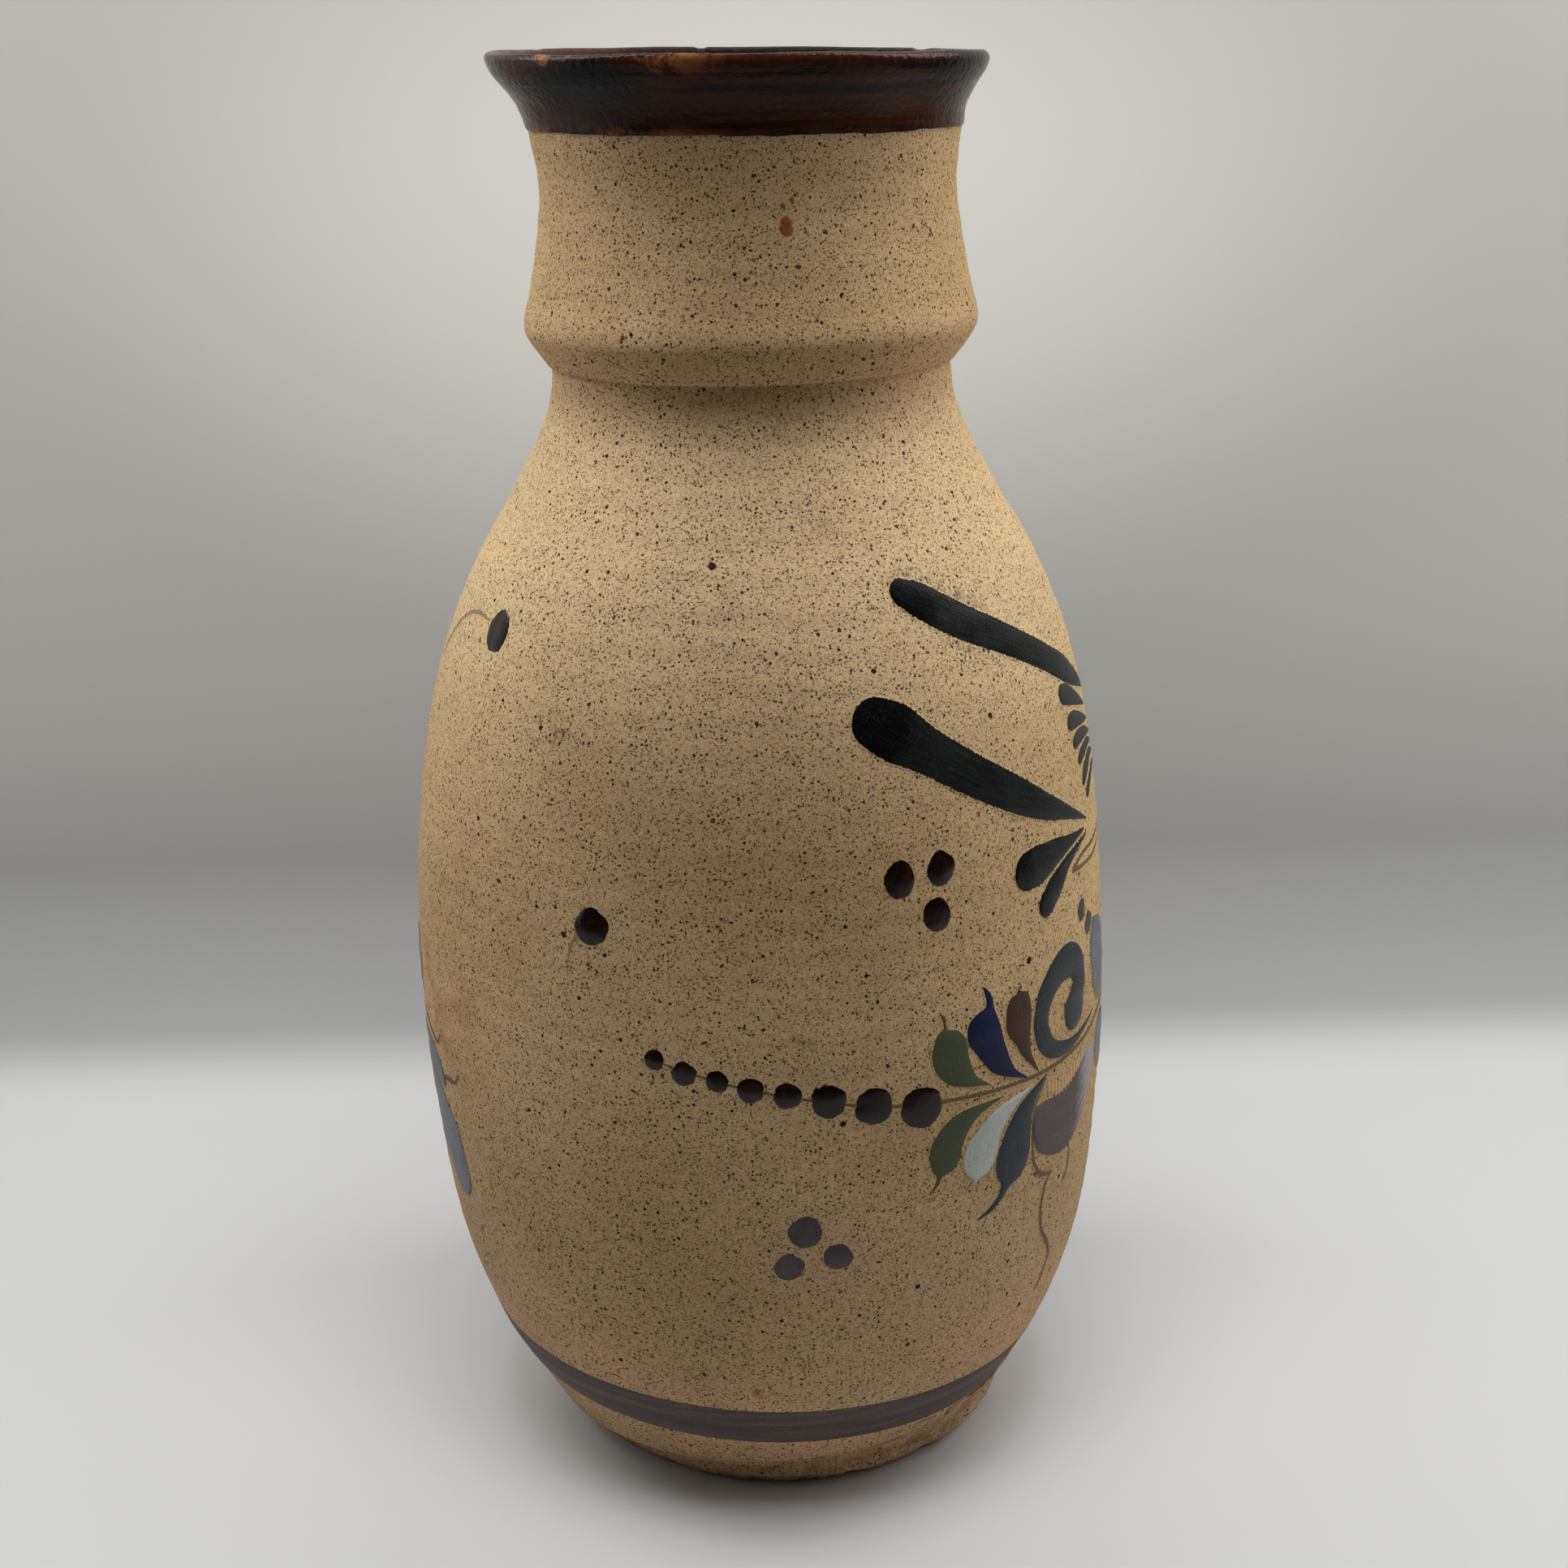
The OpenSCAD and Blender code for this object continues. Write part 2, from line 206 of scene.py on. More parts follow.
def spinProfile(name, profile, steps, centre=0.0):  # draw the closed outline, then turn it round
    deselectAll()
    bpy.ops.mesh.primitive_plane_add(size=mm, location=(0, 0, 0))
    obj = bpy.context.object
    obj.name = name
    startEditing()
    bpy.ops.mesh.merge(type="CENTER")
    bpy.ops.transform.translate(value=(profile[0][0] + centre, 0, profile[0][1]))
    for (x0, z0), (x1, z1) in zip(profile, profile[1:]):
        bpy.ops.mesh.extrude_region_move(TRANSFORM_OT_translate={"value": (x1 - x0, 0, z1 - z0)})
    bpy.ops.mesh.select_all(action="SELECT")
    bpy.ops.mesh.spin(steps=steps, angle=2 * math.pi, center=(centre, 0, 0), axis=(0, 0, 1))
    bpy.ops.mesh.select_all(action="SELECT")
    bpy.ops.mesh.remove_doubles(threshold=0.01 * mm)
    bpy.ops.mesh.normals_make_consistent(inside=False)
    stopEditing()
    return obj


def movePoints(obj, move):  # move says where each point goes
    for v in obj.data.vertices:
        v.co = move(v.co)
    obj.data.update()


def evenLine(table, start, end, step):  # (radius, height) points at even heights
    count = max(1, round((end - start) / step))
    return [(lookUp(table, start + (end - start) * i / count), start + (end - start) * i / count)
            for i in range(count + 1)]


wiring = {}    # "tree" is the node tree that is being wired


def link(start, end):
    wiring["tree"].links.new(start, end)


def put(kind, plugs=None, **settings):
    made = wiring["tree"].nodes.new(kind)
    for key, value in settings.items():
        setattr(made, key, value)
    for key, value in (plugs or {}).items():
        if isinstance(value, bpy.types.NodeSocket):
            link(value, made.inputs[key])
        else:
            made.inputs[key].default_value = value
    return made


def calc(operation, a, b, clamp=False):
    made = put("ShaderNodeMath", {0: a, 1: b}, operation=operation, use_clamp=clamp)
    return made.outputs[0]


def times(a, b):
    return calc("MULTIPLY", a, b)


def plus(a, b):
    return calc("ADD", a, b)


def moveVector(operation, a, b):
    return put("ShaderNodeVectorMath", {0: a, 1: b}, operation=operation).outputs


def ownPlace():  # the spot on the piece itself, in metres
    return put("ShaderNodeTexCoord").outputs["Object"]


def brushValue(name):  # gap or share, as laid down with the stroke
    return put("ShaderNodeAttribute", attribute_name=name).outputs["Fac"]


def mixColour(share, a, b, blend="MIX"):
    made = put("ShaderNodeMix", data_type="RGBA", blend_type=blend)
    for index, value in ((0, share), (6, a), (7, b)):
        if isinstance(value, bpy.types.NodeSocket):
            link(value, made.inputs[index])
        elif index:
            made.inputs[index].default_value = (*value, 1)
        else:
            made.inputs[index].default_value = value
    return made.outputs[2]


def ramp(value, low, high, top=1.0, bottom=0.0):  # soft step from low to high
    made = put("ShaderNodeMapRange",
               {"Value": value, "From Min": low, "From Max": high, "To Min": bottom, "To Max": top},
               interpolation_type="SMOOTHSTEP")
    return made.outputs[0]


def cloud(where, scale, detail=3.0, roughness=0.55, stretch=None):
    if stretch:
        where = put("ShaderNodeMapping", {"Vector": where, "Scale": stretch}).outputs[0]
    made = put("ShaderNodeTexNoise",
               {"Vector": where, "Scale": scale, "Detail": detail, "Roughness": roughness})
    return made.outputs[0]


def speckLayer(where, perMetre, share, biggest):  # iron specks: where, and how dark
    cells = put("ShaderNodeTexVoronoi", {"Vector": where, "Scale": perMetre})
    parts = put("ShaderNodeSeparateColor", {"Color": cells.outputs["Color"]})
    size = put("ShaderNodeMapRange", {
        "Value": parts.outputs[0], "From Min": 1 - share, "From Max": 1.0, "To Min": 0.0, "To Max": biggest})
    gap = calc("SUBTRACT", size.outputs[0], cells.outputs["Distance"])
    return calc("MULTIPLY", gap, 6.0 / biggest, clamp=True), parts.outputs[1]


clayLook = {
    "light": (0.665, 0.487, 0.258),
    "dark": (0.555, 0.393, 0.197),
    "pale": (0.80, 0.625, 0.37),
    "pink": (0.71, 0.435, 0.25),
    "iron": (0.012, 0.006, 0.003),
    "rust": (0.14, 0.055, 0.020),
    # colour of the painted shade low on the pot
    "soot": (0.33, 0.26, 0.16),
    "ragged": 0.0007,   # how far the specks' outlines wander
    # cells per metre, share of cells with a speck, biggest radius in cells, darkness
    "specks": [(2100, 1.0, 0.47, 0.85), (1050, 0.8, 0.36, 0.92), (500, 0.34, 0.25, 0.95),
               (130, 0.35, 0.12, 0.97)],
    # turn in degrees, height and radius in mm, strength, colour
    "stains": [
        (-39, 175, 3.8, 0.9, (0.12, 0.095, 0.055)), (-34.5, 176, 3.8, 0.9, (0.12, 0.095, 0.055)),
        (-64, 110, 26, 0.5, (0.42, 0.215, 0.085)), (-58, 90, 20, 0.35, (0.42, 0.215, 0.085)),
        (8, 232, 7, 0.35, (0.22, 0.15, 0.085)), (16, 215, 9, 0.3, (0.26, 0.19, 0.11)),
        (-2, 36, 4, 0.8, (0.16, 0.06, 0.03)), (5, 43, 3, 0.7, (0.07, 0.05, 0.035)),
        (10, 50, 4.5, 0.5, (0.09, 0.06, 0.04)), (-8, 205, 16, 0.25, (0.30, 0.22, 0.13)),
        (38, 214, 7, 0.3, (0.26, 0.19, 0.11))],
}


def makeClayPattern():
    look = clayLook
    tree = bpy.data.node_groups.new("clayPattern", "ShaderNodeTree")
    wiring["tree"] = tree
    for name, kind in (("Color", "Color"), ("Height", "Float"), ("Specks", "Float")):
        tree.interface.new_socket(name=name, in_out="OUTPUT", socket_type="NodeSocket" + kind)
    ends = tree.nodes.new("NodeGroupOutput")
    place = ownPlace()
    height = put("ShaderNodeSeparateXYZ", {0: place}).outputs[2]
    ragged = put("ShaderNodeTexNoise", {"Vector": place, "Scale": 1800.0, "Detail": 3.0})
    shift = moveVector("MULTIPLY", ragged.outputs[1], (look["ragged"],) * 3)[0]
    bent = moveVector("ADD", place, shift)[0]
    patches = cloud(place, 17.0, 5.0, 0.6)
    colour = mixColour(ramp(patches, 0.36, 0.66), look["dark"], look["light"])
    paler = times(ramp(height, 0.150, 0.205), ramp(height, 0.245, 0.225))
    colour = mixColour(times(paler, 0.55), colour, look["pale"])
    blush = ramp(cloud(place, 24.0, 4.0), 0.5, 0.72, 0.35)
    colour = mixColour(blush, colour, look["pink"])
    # painted shade: the clay is mixed darker and greyer towards the bottom of the pot
    paintedLowShade = ramp(height, 0.13, 0.04, 0.36)
    colour = mixColour(paintedLowShade, colour, look["soot"])
    footBlush = times(ramp(height, 0.062, 0.026), ramp(cloud(place, 55.0, 4.0), 0.38, 0.66, 0.75, 0.1))
    colour = mixColour(footBlush, colour, look["pink"])
    for turn, high, radius, strength, shade in look["stains"]:
        middle = atTurn(math.radians(turn), wallRadius(high * mm), high * mm)
        far = moveVector("DISTANCE", place, middle)["Value"]
        near = ramp(far, radius * mm, radius * 0.2 * mm)
        torn = ramp(cloud(place, 2000.0 / radius, 5.0, 0.75), 0.47, 0.62)
        stained = times(times(near, torn), strength)
        colour = mixColour(stained, colour, shade)
    grain = cloud(place, 1500.0, 3.0, 0.7)
    colour = mixColour(ramp(grain, 0.3, 0.7, 0.4), colour, look["dark"], "MULTIPLY")
    sandy = ramp(cloud(place, 3000.0, 2.0, 0.7), 0.53, 0.66, 0.55)
    colour = mixColour(sandy, colour, look["iron"])
    allSpecks = None
    for perMetre, share, biggest, depth in look["specks"]:
        mask, tone = speckLayer(bent, perMetre, share, biggest)
        speckColour = mixColour(ramp(tone, 0.6, 1.0, 0.8), look["iron"], look["rust"])
        colour = mixColour(times(mask, depth), colour, speckColour)
        allSpecks = mask if allSpecks is None else calc("MAXIMUM", allSpecks, mask)
    rough = times(cloud(place, 900.0, 4.0, 0.65), 0.7)
    bumps = calc("SUBTRACT", rough, times(allSpecks, 0.35))
    for name, value in (("Color", colour), ("Height", bumps), ("Specks", allSpecks)):
        link(value, ends.inputs[name])
    return tree


def startMaterial(name):
    material = bpy.data.materials.new(name)
    material.use_nodes = True
    wiring["tree"] = material.node_tree
    return material, material.node_tree.nodes["Principled BSDF"]


def setFinish(shader, colour, roughness, height=None, depth=0.0, strength=1.0, shine=0.5):
    for name, value in (("Base Color", colour), ("Roughness", roughness), ("Specular IOR Level", shine)):
        if isinstance(value, bpy.types.NodeSocket):
            link(value, shader.inputs[name])
        else:
            shader.inputs[name].default_value = (*value, 1) if name == "Base Color" else value
    if height is not None:
        bump = put("ShaderNodeBump", {"Height": height, "Distance": depth, "Strength": strength})
        link(bump.outputs[0], shader.inputs["Normal"])


def useClay():
    return put("ShaderNodeGroup", node_tree=clayPattern).outputs


def makeBareClay(name="bareClay", dirt=0.0):
    material, shader = startMaterial(name)
    clay = useClay()
    colour = clay["Color"]
    if dirt:
        place = ownPlace()
        grime = ramp(cloud(place, 160.0, 6.0, 0.75), 0.42, 0.68, dirt, 0.1)
        colour = mixColour(grime, colour, (0.20, 0.145, 0.07))
        pits = ramp(cloud(place, 1.0, 4.0, 0.7, stretch=(380, 380, 1100)), 0.60, 0.68)
        colour = mixColour(pits, colour, (0.05, 0.035, 0.02))
    setFinish(shader, colour, 0.88, clay["Height"], 0.00022, 0.8, shine=0.12)
    return material


def makeLipGlaze():
    look = {
        "black": (0.006, 0.0045, 0.004),
        "brown": (0.046, 0.0135, 0.005),
        "rust": (0.26, 0.095, 0.028),
        "warm": (0.055, 0.017, 0.006),
        "patch": (-0.028, -0.036, 0.2915),   # middle of the blackest patch
    }
    material, shader = startMaterial("lipGlaze")
    place = ownPlace()
    across, depth, height = put("ShaderNodeSeparateXYZ", {0: place}).outputs
    streaks = cloud(place, 1.0, 5.0, 0.65, stretch=(26, 26, 420))
    colour = mixColour(ramp(streaks, 0.38, 0.62), look["black"], look["brown"])
    spot = moveVector("DISTANCE", place, look["patch"])["Value"]
    patch = plus(spot, times(streaks, 0.016))
    colour = mixColour(ramp(patch, 0.026, 0.016, 0.95), colour, (0.004, 0.0045, 0.005))
    blotches = ramp(cloud(place, 75.0, 6.0, 0.75), 0.53, 0.63)
    runs = ramp(cloud(place, 110.0, 6.0, 0.75), 0.42, 0.60, 0.75)
    toLeft = ramp(across, 0.0, -0.017, 1.0, 0.1)
    lowEdge = times(ramp(height, 0.2884, 0.2866), toLeft)
    topEdge = times(ramp(height, 0.2955, 0.2985), toLeft)
    topEdge = times(topEdge, ramp(depth, 0.0, -0.012))
    runs = times(runs, lowEdge)
    thin = calc("MAXIMUM", runs, times(blotches, topEdge))
    colour = mixColour(thin, colour, look["rust"])
    warm = times(ramp(height, 0.2935, 0.290), ramp(height, 0.2858, 0.2875))
    colour = mixColour(times(warm, 0.45), colour, look["warm"])
    specks = ramp(cloud(place, 700.0, 3.0, 0.7), 0.66, 0.74, 0.5)
    colour = mixColour(specks, colour, (0.10, 0.045, 0.02))
    peel = cloud(place, 650.0, 3.0)
    ridges = cloud(place, 1.0, 3.0, 0.5, stretch=(9, 9, 360))
    bumps = plus(peel, times(ridges, 1.5))
    setFinish(shader, colour, ramp(peel, 0.3, 0.7, 0.28, 0.12), bumps, 0.0003, 0.9, shine=0.1)
    return material


def makeLinerGlaze():
    material, shader = startMaterial("linerGlaze")
    place = ownPlace()
    streaks = cloud(place, 1.0, 4.0, 0.6, stretch=(40, 40, 150))
    colour = mixColour(ramp(streaks, 0.4, 0.65), (0.016, 0.009, 0.006), (0.075, 0.028, 0.012))
    setFinish(shader, colour, 0.3, cloud(place, 300.0), 0.0002, 0.5)
    return material


def makeSlip(name, light, dark, roughness=0.62, stretch=(26, 26, 520)):
    material, shader = startMaterial(name)
    place = ownPlace()
    clay = useClay()
    streaks = cloud(place, 1.0, 4.0, 0.6, stretch=stretch)
    colour = mixColour(ramp(streaks, 0.35, 0.65), dark, light)
    worn = ramp(cloud(place, 160.0, 5.0, 0.75), 0.6, 0.85, 0.35)
    colour = mixColour(worn, colour, clay["Color"])
    colour = mixColour(times(clay["Specks"], 0.5), colour, (0.02, 0.014, 0.012))
    height = plus(times(streaks, 0.8), clay["Height"])
    setFinish(shader, colour, roughness, height, 0.0001, 0.7, shine=0.25)
    return material


# body is the paint, pool its thicker spots; rim, tail and tip colour the edge, the first and the last stretch
def makeEnamel(name, body, pool, rim=None, tail=None, tailShare=0.14, tip=None, rough=0.42, ragged=0.12,
               streak=0.5, dry=0.0, shine=0.12, rimWidth=0.55):
    material, shader = startMaterial(name)
    coords = put("ShaderNodeTexCoord")
    place = coords.outputs["Object"]
    gap = brushValue("gap")
    share = brushValue("share")
    clay = useClay()
    streaks = cloud(coords.outputs["UV"], 1.0, 4.0, 0.65, stretch=(7, 0.12, 1))
    patches = cloud(place, 150.0, 4.0, 0.6)
    colour = mixColour(ramp(streaks, 0.35, 0.68, streak), body, pool)
    colour = mixColour(ramp(patches, 0.4, 0.7, 0.6), colour, pool)
    if rim:
        colour = mixColour(ramp(gap, rimWidth, rimWidth * 0.1, 0.8), colour, rim)
    if tail:
        blurred = plus(share, times(patches, 0.06))
        colour = mixColour(ramp(blurred, tailShare + 0.07, tailShare - 0.01), colour, tail)
    if tip:
        blurred = plus(share, times(calc("SUBTRACT", streaks, 0.5), 0.5))
        colour = mixColour(ramp(blurred, 0.58, 0.82, 0.9), colour, tip)
    colour = mixColour(times(clay["Specks"], 0.2), colour, (0.012, 0.009, 0.008))
    bristles = calc("SUBTRACT", cloud(place, 1500.0, 4.0, 0.7), 0.5)
    fray = times(bristles, ragged * 4)
    cover = ramp(plus(gap, fray), 0.0, 0.09)
    if dry:
        bare = plus(cloud(place, 1900.0, 3.0, 0.7), times(streaks, 0.35))
        bare = ramp(bare, 0.74, 0.86, dry)
        cover = calc("SUBTRACT", cover, bare, clamp=True)
    colour = mixColour(cover, clay["Color"], colour)
    finish = plus(times(patches, 0.2), rough - 0.1)
    finish = plus(0.88, times(cover, calc("SUBTRACT", finish, 0.88)))
    ridges = times(times(streaks, cover), 0.8)
    height = plus(ridges, clay["Height"])
    setFinish(shader, colour, finish, height, 0.00012, 0.8, times(cover, shine))
    return material


def makeDryBrush():  # stray bristle marks, no more than a shadow on the clay
    material, shader = startMaterial("dryBrush")
    coords = put("ShaderNodeTexCoord")
    gap = brushValue("gap")
    clay = useClay()
    hairs = cloud(coords.outputs["UV"], 1.0, 5.0, 0.7, stretch=(0.8, 1.2, 1))
    grains = cloud(coords.outputs["Object"], 1700.0, 4.0, 0.75)
    worn = times(ramp(hairs, 0.40, 0.64), ramp(grains, 0.36, 0.58))
    worn = times(worn, ramp(gap, 0.1, 2.4, 0.9))
    colour = mixColour(worn, clay["Color"], (0.030, 0.034, 0.030))
    setFinish(shader, colour, 0.85, clay["Height"], 0.00022, 0.8, shine=0.12)
    return material


def makeBeadGlaze(name, dark, warm, rough, shine=0.5):
    material, shader = startMaterial(name)
    place = ownPlace()
    colour = mixColour(ramp(cloud(place, 300.0, 5.0, 0.65), 0.45, 0.68), dark, warm)
    waves = plus(cloud(place, 240.0, 2.0, 0.5), times(cloud(place, 1500.0, 2.0), 0.3))
    setFinish(shader, colour, rough, waves, 0.00022, 0.6, shine)
    return material


clayPattern = makeClayPattern()
bareClay = makeBareClay()
footClay = makeBareClay("footClay", dirt=0.85)
lipGlaze = makeLipGlaze()
linerGlaze = makeLinerGlaze()
footSlip = makeSlip("footSlip", (0.108, 0.080, 0.070), (0.066, 0.048, 0.044))
dotSlip = makeSlip("dotSlip", (0.072, 0.060, 0.057), (0.046, 0.038, 0.036), 0.5, (150, 150, 150))
print("clay and glaze mixed")


def buildBellyWall():
    s = {
        "crease": 8.4 * mm,    # the wall ends here in a ledge over the foot
        "ledge": 3 * mm,
        "drop": 0.9 * mm,      # the ledge's slope
        "reach": 21 * mm,      # the tilt of the crease fades out here
        "ragged": 0.35 * mm,
        "rows": 1.15 * mm,
        "insideRows": 8 * mm,
    }
    bottom, top = wallOutside[0][0], wallOutside[-1][0]
    outside = evenLine(wallOutside, s["crease"], top, s["rows"])
    edge = outside[0]
    rounded = (edge[0] - 0.5 * mm, edge[1] - 0.2 * mm)
    outside = [(edge[0] - s["ledge"], edge[1] - s["drop"]), rounded] + outside
    insideTable = readOutline("belly_wall", -1)
    inside = evenLine(insideTable, insideTable[0][0], insideTable[-1][0], s["insideRows"])
    foot = [(inside[0][0], bottom), (edge[0] - s["ledge"], bottom)]
    profile = outside + inside[::-1] + foot + [outside[0]]
    wall = spinProfile("bellyWall", profile, throwing["steps"])

    def trimmed(p):  # the crease is cut higher on the right
        away = wallRadius(p.z) - p.xy.length if p.z >= s["crease"] else edge[0] - p.xy.length
        if p.z > s["reach"] or p.z < s["crease"] - 1 * mm or away > s["ledge"] + 0.2 * mm:
            return handThrown(p)
        turn, around = facing(p)
        ragged = s["ragged"] * noise.noise(around * 5)
        crease = throwing["creaseMiddle"] + throwing["creaseTilt"] * math.sin(turn) + ragged
        share = max(0, (p.z - s["crease"]) / (s["reach"] - s["crease"]))
        height = crease + share * (s["reach"] - crease)
        radius = wallRadius(height) - away
        drop = min(0, p.z - s["crease"])
        return handThrown(atTurn(turn, radius, height + drop))

    movePoints(wall, trimmed)
    finishPiece(wall, "belly_wall", bareClay)
    print("belly wall thrown:", len(wall.data.polygons), "faces")


def buildNeck():
    s = {
        "hidden": 286.2 * mm,    # from here up the clay sits under the lip glaze
        "under": 0.6 * mm,
        "throat": 44.1 * mm,     # widest the hidden clay gets, then a slope of 0.5 from flareStart up
        "flareStart": 288 * mm,
        "top": 294 * mm,
        "rows": 0.8 * mm,
        "insideRows": 4 * mm,
    }
    outside = []
    for r, h in evenLine(neckOutside, neckOutside[0][0], s["top"], s["rows"]):
        if h > s["hidden"]:
            r = min(r, s["throat"] + max(0, h - s["flareStart"]) * 0.5) - s["under"]
        outside.append((r, h))
    insideTable = readOutline("neck_collar", -1)
    inside = evenLine(insideTable, insideTable[0][0], s["top"], s["insideRows"])
    profile = outside + inside[::-1] + [outside[0]]
    neck = spinProfile("neckCollar", profile, throwing["steps"])
    movePoints(neck, handThrown)
    finishPiece(neck, "neck_collar", bareClay, angle=60)
    print("neck joined on:", len(neck.data.polygons), "faces")


def buildFoot():
    low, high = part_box("foot_ring")
    s = {
        "centre": (low.x + high.x) / 2,
        "chip": 1.3 * mm,      # deepest bite out of the standing edge
        "rough": 0.55 * mm,
        # outer face near the standing edge, as radius and height in mm
        "face": [(46.9, 0), (47.8, 0.6), (48.5, 1.8)],
        "step": 1.4 * mm,      # how far the trimmed face sits behind the wall
        "top": 14 * mm,
        "inner": 38.5 * mm,
        "edge": 3.5 * mm,      # bites reach this high
        "tear": 1.2 * mm,
        "rows": 24,
        "steps": 300,
    }
    outer = [(r * mm, h * mm) for r, h in s["face"]]
    heights = [s["top"] * i / s["rows"] for i in range(6, s["rows"] + 1)]
    outer += [(wallRadius(h) - s["step"], h) for h in heights]
    inner = s["inner"]
    profile = [(inner, 0)] + outer + [(inner, outer[-1][1]), (inner, 0)]
    foot = spinProfile("footRing", profile, s["steps"], s["centre"])

    def chipped(p):
        away = Vector((p.x - s["centre"], p.y, 0))
        out = away.normalized()
        if away.length < inner + 1 * mm:
            return p.copy()
        edge = max(0, 1 - p.z / s["edge"])
        bite = max(0, noise.noise(p * 120) + 0.1 + 0.6 * noise.noise(p * 380)) * s["chip"] * edge
        rough = s["rough"] * noise.fractal(p * 190, 0.7, 2.2, 4) * min(1, 0.4 + p.z / (2 * mm))
        rough -= 0.45 * s["rough"]
        tear = max(0, noise.noise(Vector((out.x * 14, out.y * 14, p.z * 500))) - 0.35) * s["tear"]
        rise = 0.8 * bite if p.z < 1 * mm else 0
        shift = out * (rough - tear - 0.6 * bite)
        return Vector((p.x + shift.x, p.y + shift.y, p.z + rise))

    movePoints(foot, chipped)
    finishPiece(foot, "foot_ring", footClay, angle=70)
    print("foot trimmed")


def buildFloor():
    low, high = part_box("floor_slab")
    radius = high.x
    profile = [(0, low.z), (radius * 0.5, low.z), (radius, low.z), (radius, high.z), (0, high.z)]
    floor = spinProfile("floorSlab", profile, 96)
    finishPiece(floor, "floor_slab", footClay)
    print("floor laid")


buildBellyWall()
buildNeck()
buildFoot()
buildFloor()


def buildLipGlaze():
    s = {
        "edgeWave": 0.35 * mm,
        "edgeTilt": 0.3 * mm,
        "roll": 0.10 * mm,      # thicker line of glaze at its lower edge
        "rollHeight": 0.9 * mm,
        "rollWidth": 1.2 * mm,
        "edgeReach": 4 * mm,    # the wandering of the lower edge fades out above this
        "chip": 1.6 * mm,       # deepest nick in the lip
        "chipReach": 3 * mm,
        "coat": 0.5 * mm,
        # outer face from the lower edge up, over the lip and in, as radius and height in mm
        "face": [(43.78, 285.5), (44.05, 286.9), (44.45, 288.5), (45.15, 290.3), (46.1, 291.9), (47.2, 293.5),
                 (48.3, 294.9), (49.2, 296.2), (49.8, 297.5), (50.05, 298.6), (49.85, 299.4), (49.3, 299.9),
                 (48.5, 300), (47.4, 299.7), (46.2, 298.8), (45.1, 297.4), (44.4, 295.8), (43.7, 294.5),
                 (42.9, 293.2), (42.05, 291.9), (41.3, 290.6)],
    }
    face = [(r * mm, h * mm) for r, h in smoothLine(s["face"], 5)]
    start = face[0][1]
    core = []
    for i in range(0, len(face), 3):
        (r0, h0), (r1, h1) = face[max(i - 1, 0)], face[min(i + 1, len(face) - 1)]
        length = math.hypot(r1 - r0, h1 - h0)
        back = s["coat"] / length
        core.append((face[i][0] - (h1 - h0) * back, face[i][1] + (r1 - r0) * back))
    core[0] = (face[0][0] - s["coat"], start + 0.1 * mm)
    glaze = spinProfile("lipGlaze", face + core[::-1] + [face[0]], throwing["steps"])

    def flowed(p):
        turn, around = facing(p)
        low = max(0, 1 - (p.z - start) / s["edgeReach"])
        wave = s["edgeWave"] * (noise.noise(around * 3) + 0.5 * noise.noise(around * 11))
        p = Vector((p.x, p.y, p.z + low * (wave - s["edgeTilt"] * math.sin(turn))))
        roll = s["roll"] * max(0, 1 - abs(p.z - start - s["rollHeight"]) / s["rollWidth"])
        chip = max(0, noise.noise(around * 9 + Vector((0, 0, p.z * 90))) - 0.42) * s["chip"]
        chip *= max(0, 1 - abs(p.z - topHeight) / s["chipReach"])
        p = p + Vector((math.sin(turn), -math.cos(turn), 0)) * (roll - 0.4 * chip) - Vector((0, 0, chip))
        return handThrown(p)

    movePoints(glaze, flowed)
    finishPiece(glaze, "lip_glaze", lipGlaze, angle=60)
    print("lip dipped")


def buildLiner():
    s = {"rows": 2.5 * mm, "coat": 0.4 * mm, "gap": 0.1 * mm, "steps": 192}
    inside = readOutline("liner_glaze", -1)
    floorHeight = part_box("floor_slab")[1].z + s["gap"]
    skin = evenLine(inside, inside[0][0], inside[-1][0], s["rows"])
    back = [(r + s["coat"], h) for r, h in skin]
    profile = [(0, floorHeight + s["coat"])] + skin + back[::-1] + [(0, floorHeight)]
    liner = spinProfile("linerGlaze", profile, s["steps"])
    movePoints(liner, handThrown)
    finishPiece(liner, "liner_glaze", linerGlaze)
    print("inside glazed")


buildLipGlaze()
buildLiner()


def buildFootBand():
    s = {
        "rows": 14,
        "thick": 0.16 * mm,
        "sunk": 0.3 * mm,
        "wave": 0.3 * mm,
        "height": 11.6 * mm,
        "middle": 23 * mm,
    }
    low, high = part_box("foot_band")
    tilt = (high.z - low.z - s["height"]) / (high.x - low.x)
    steps = throwing["steps"]
    deselectAll()
    bpy.ops.mesh.primitive_cylinder_add(vertices=steps, radius=0.06, depth=1, end_fill_type="NOTHING")
    band = bpy.context.object
    band.name = "footBand"
    bpy.ops.object.mode_set(mode="EDIT")
    for row in range(1, s["rows"]):
        bpy.ops.mesh.select_all(action="SELECT")
        bpy.ops.mesh.bisect(plane_co=(0, 0, row / s["rows"] - 0.5), plane_no=(0, 0, 1))
    stopEditing()

    def brushedOn(p):
        turn, around = facing(p)
        share = p.z + 0.5
        around.z = round(share)
        wave = s["wave"] * (noise.noise(around * 2.5) + 0.4 * noise.noise(around * 16))
        height = s["middle"] + (share - 0.5) * s["height"] + wave
        height -= tilt * wallRadius(height) * math.sin(turn)
        edge = min(share, 1 - share) * 2
        lift = s["thick"] * min(1, edge * 5) + 0.02 * mm
        radius = wallRadius(height) + lift
        return handThrown(atTurn(turn, radius, height))

    movePoints(band, brushedOn)
    thicken(band, s["sunk"])
    finishPiece(band, "foot_band", footSlip)
    print("slip band brushed on")


buildFootBand()


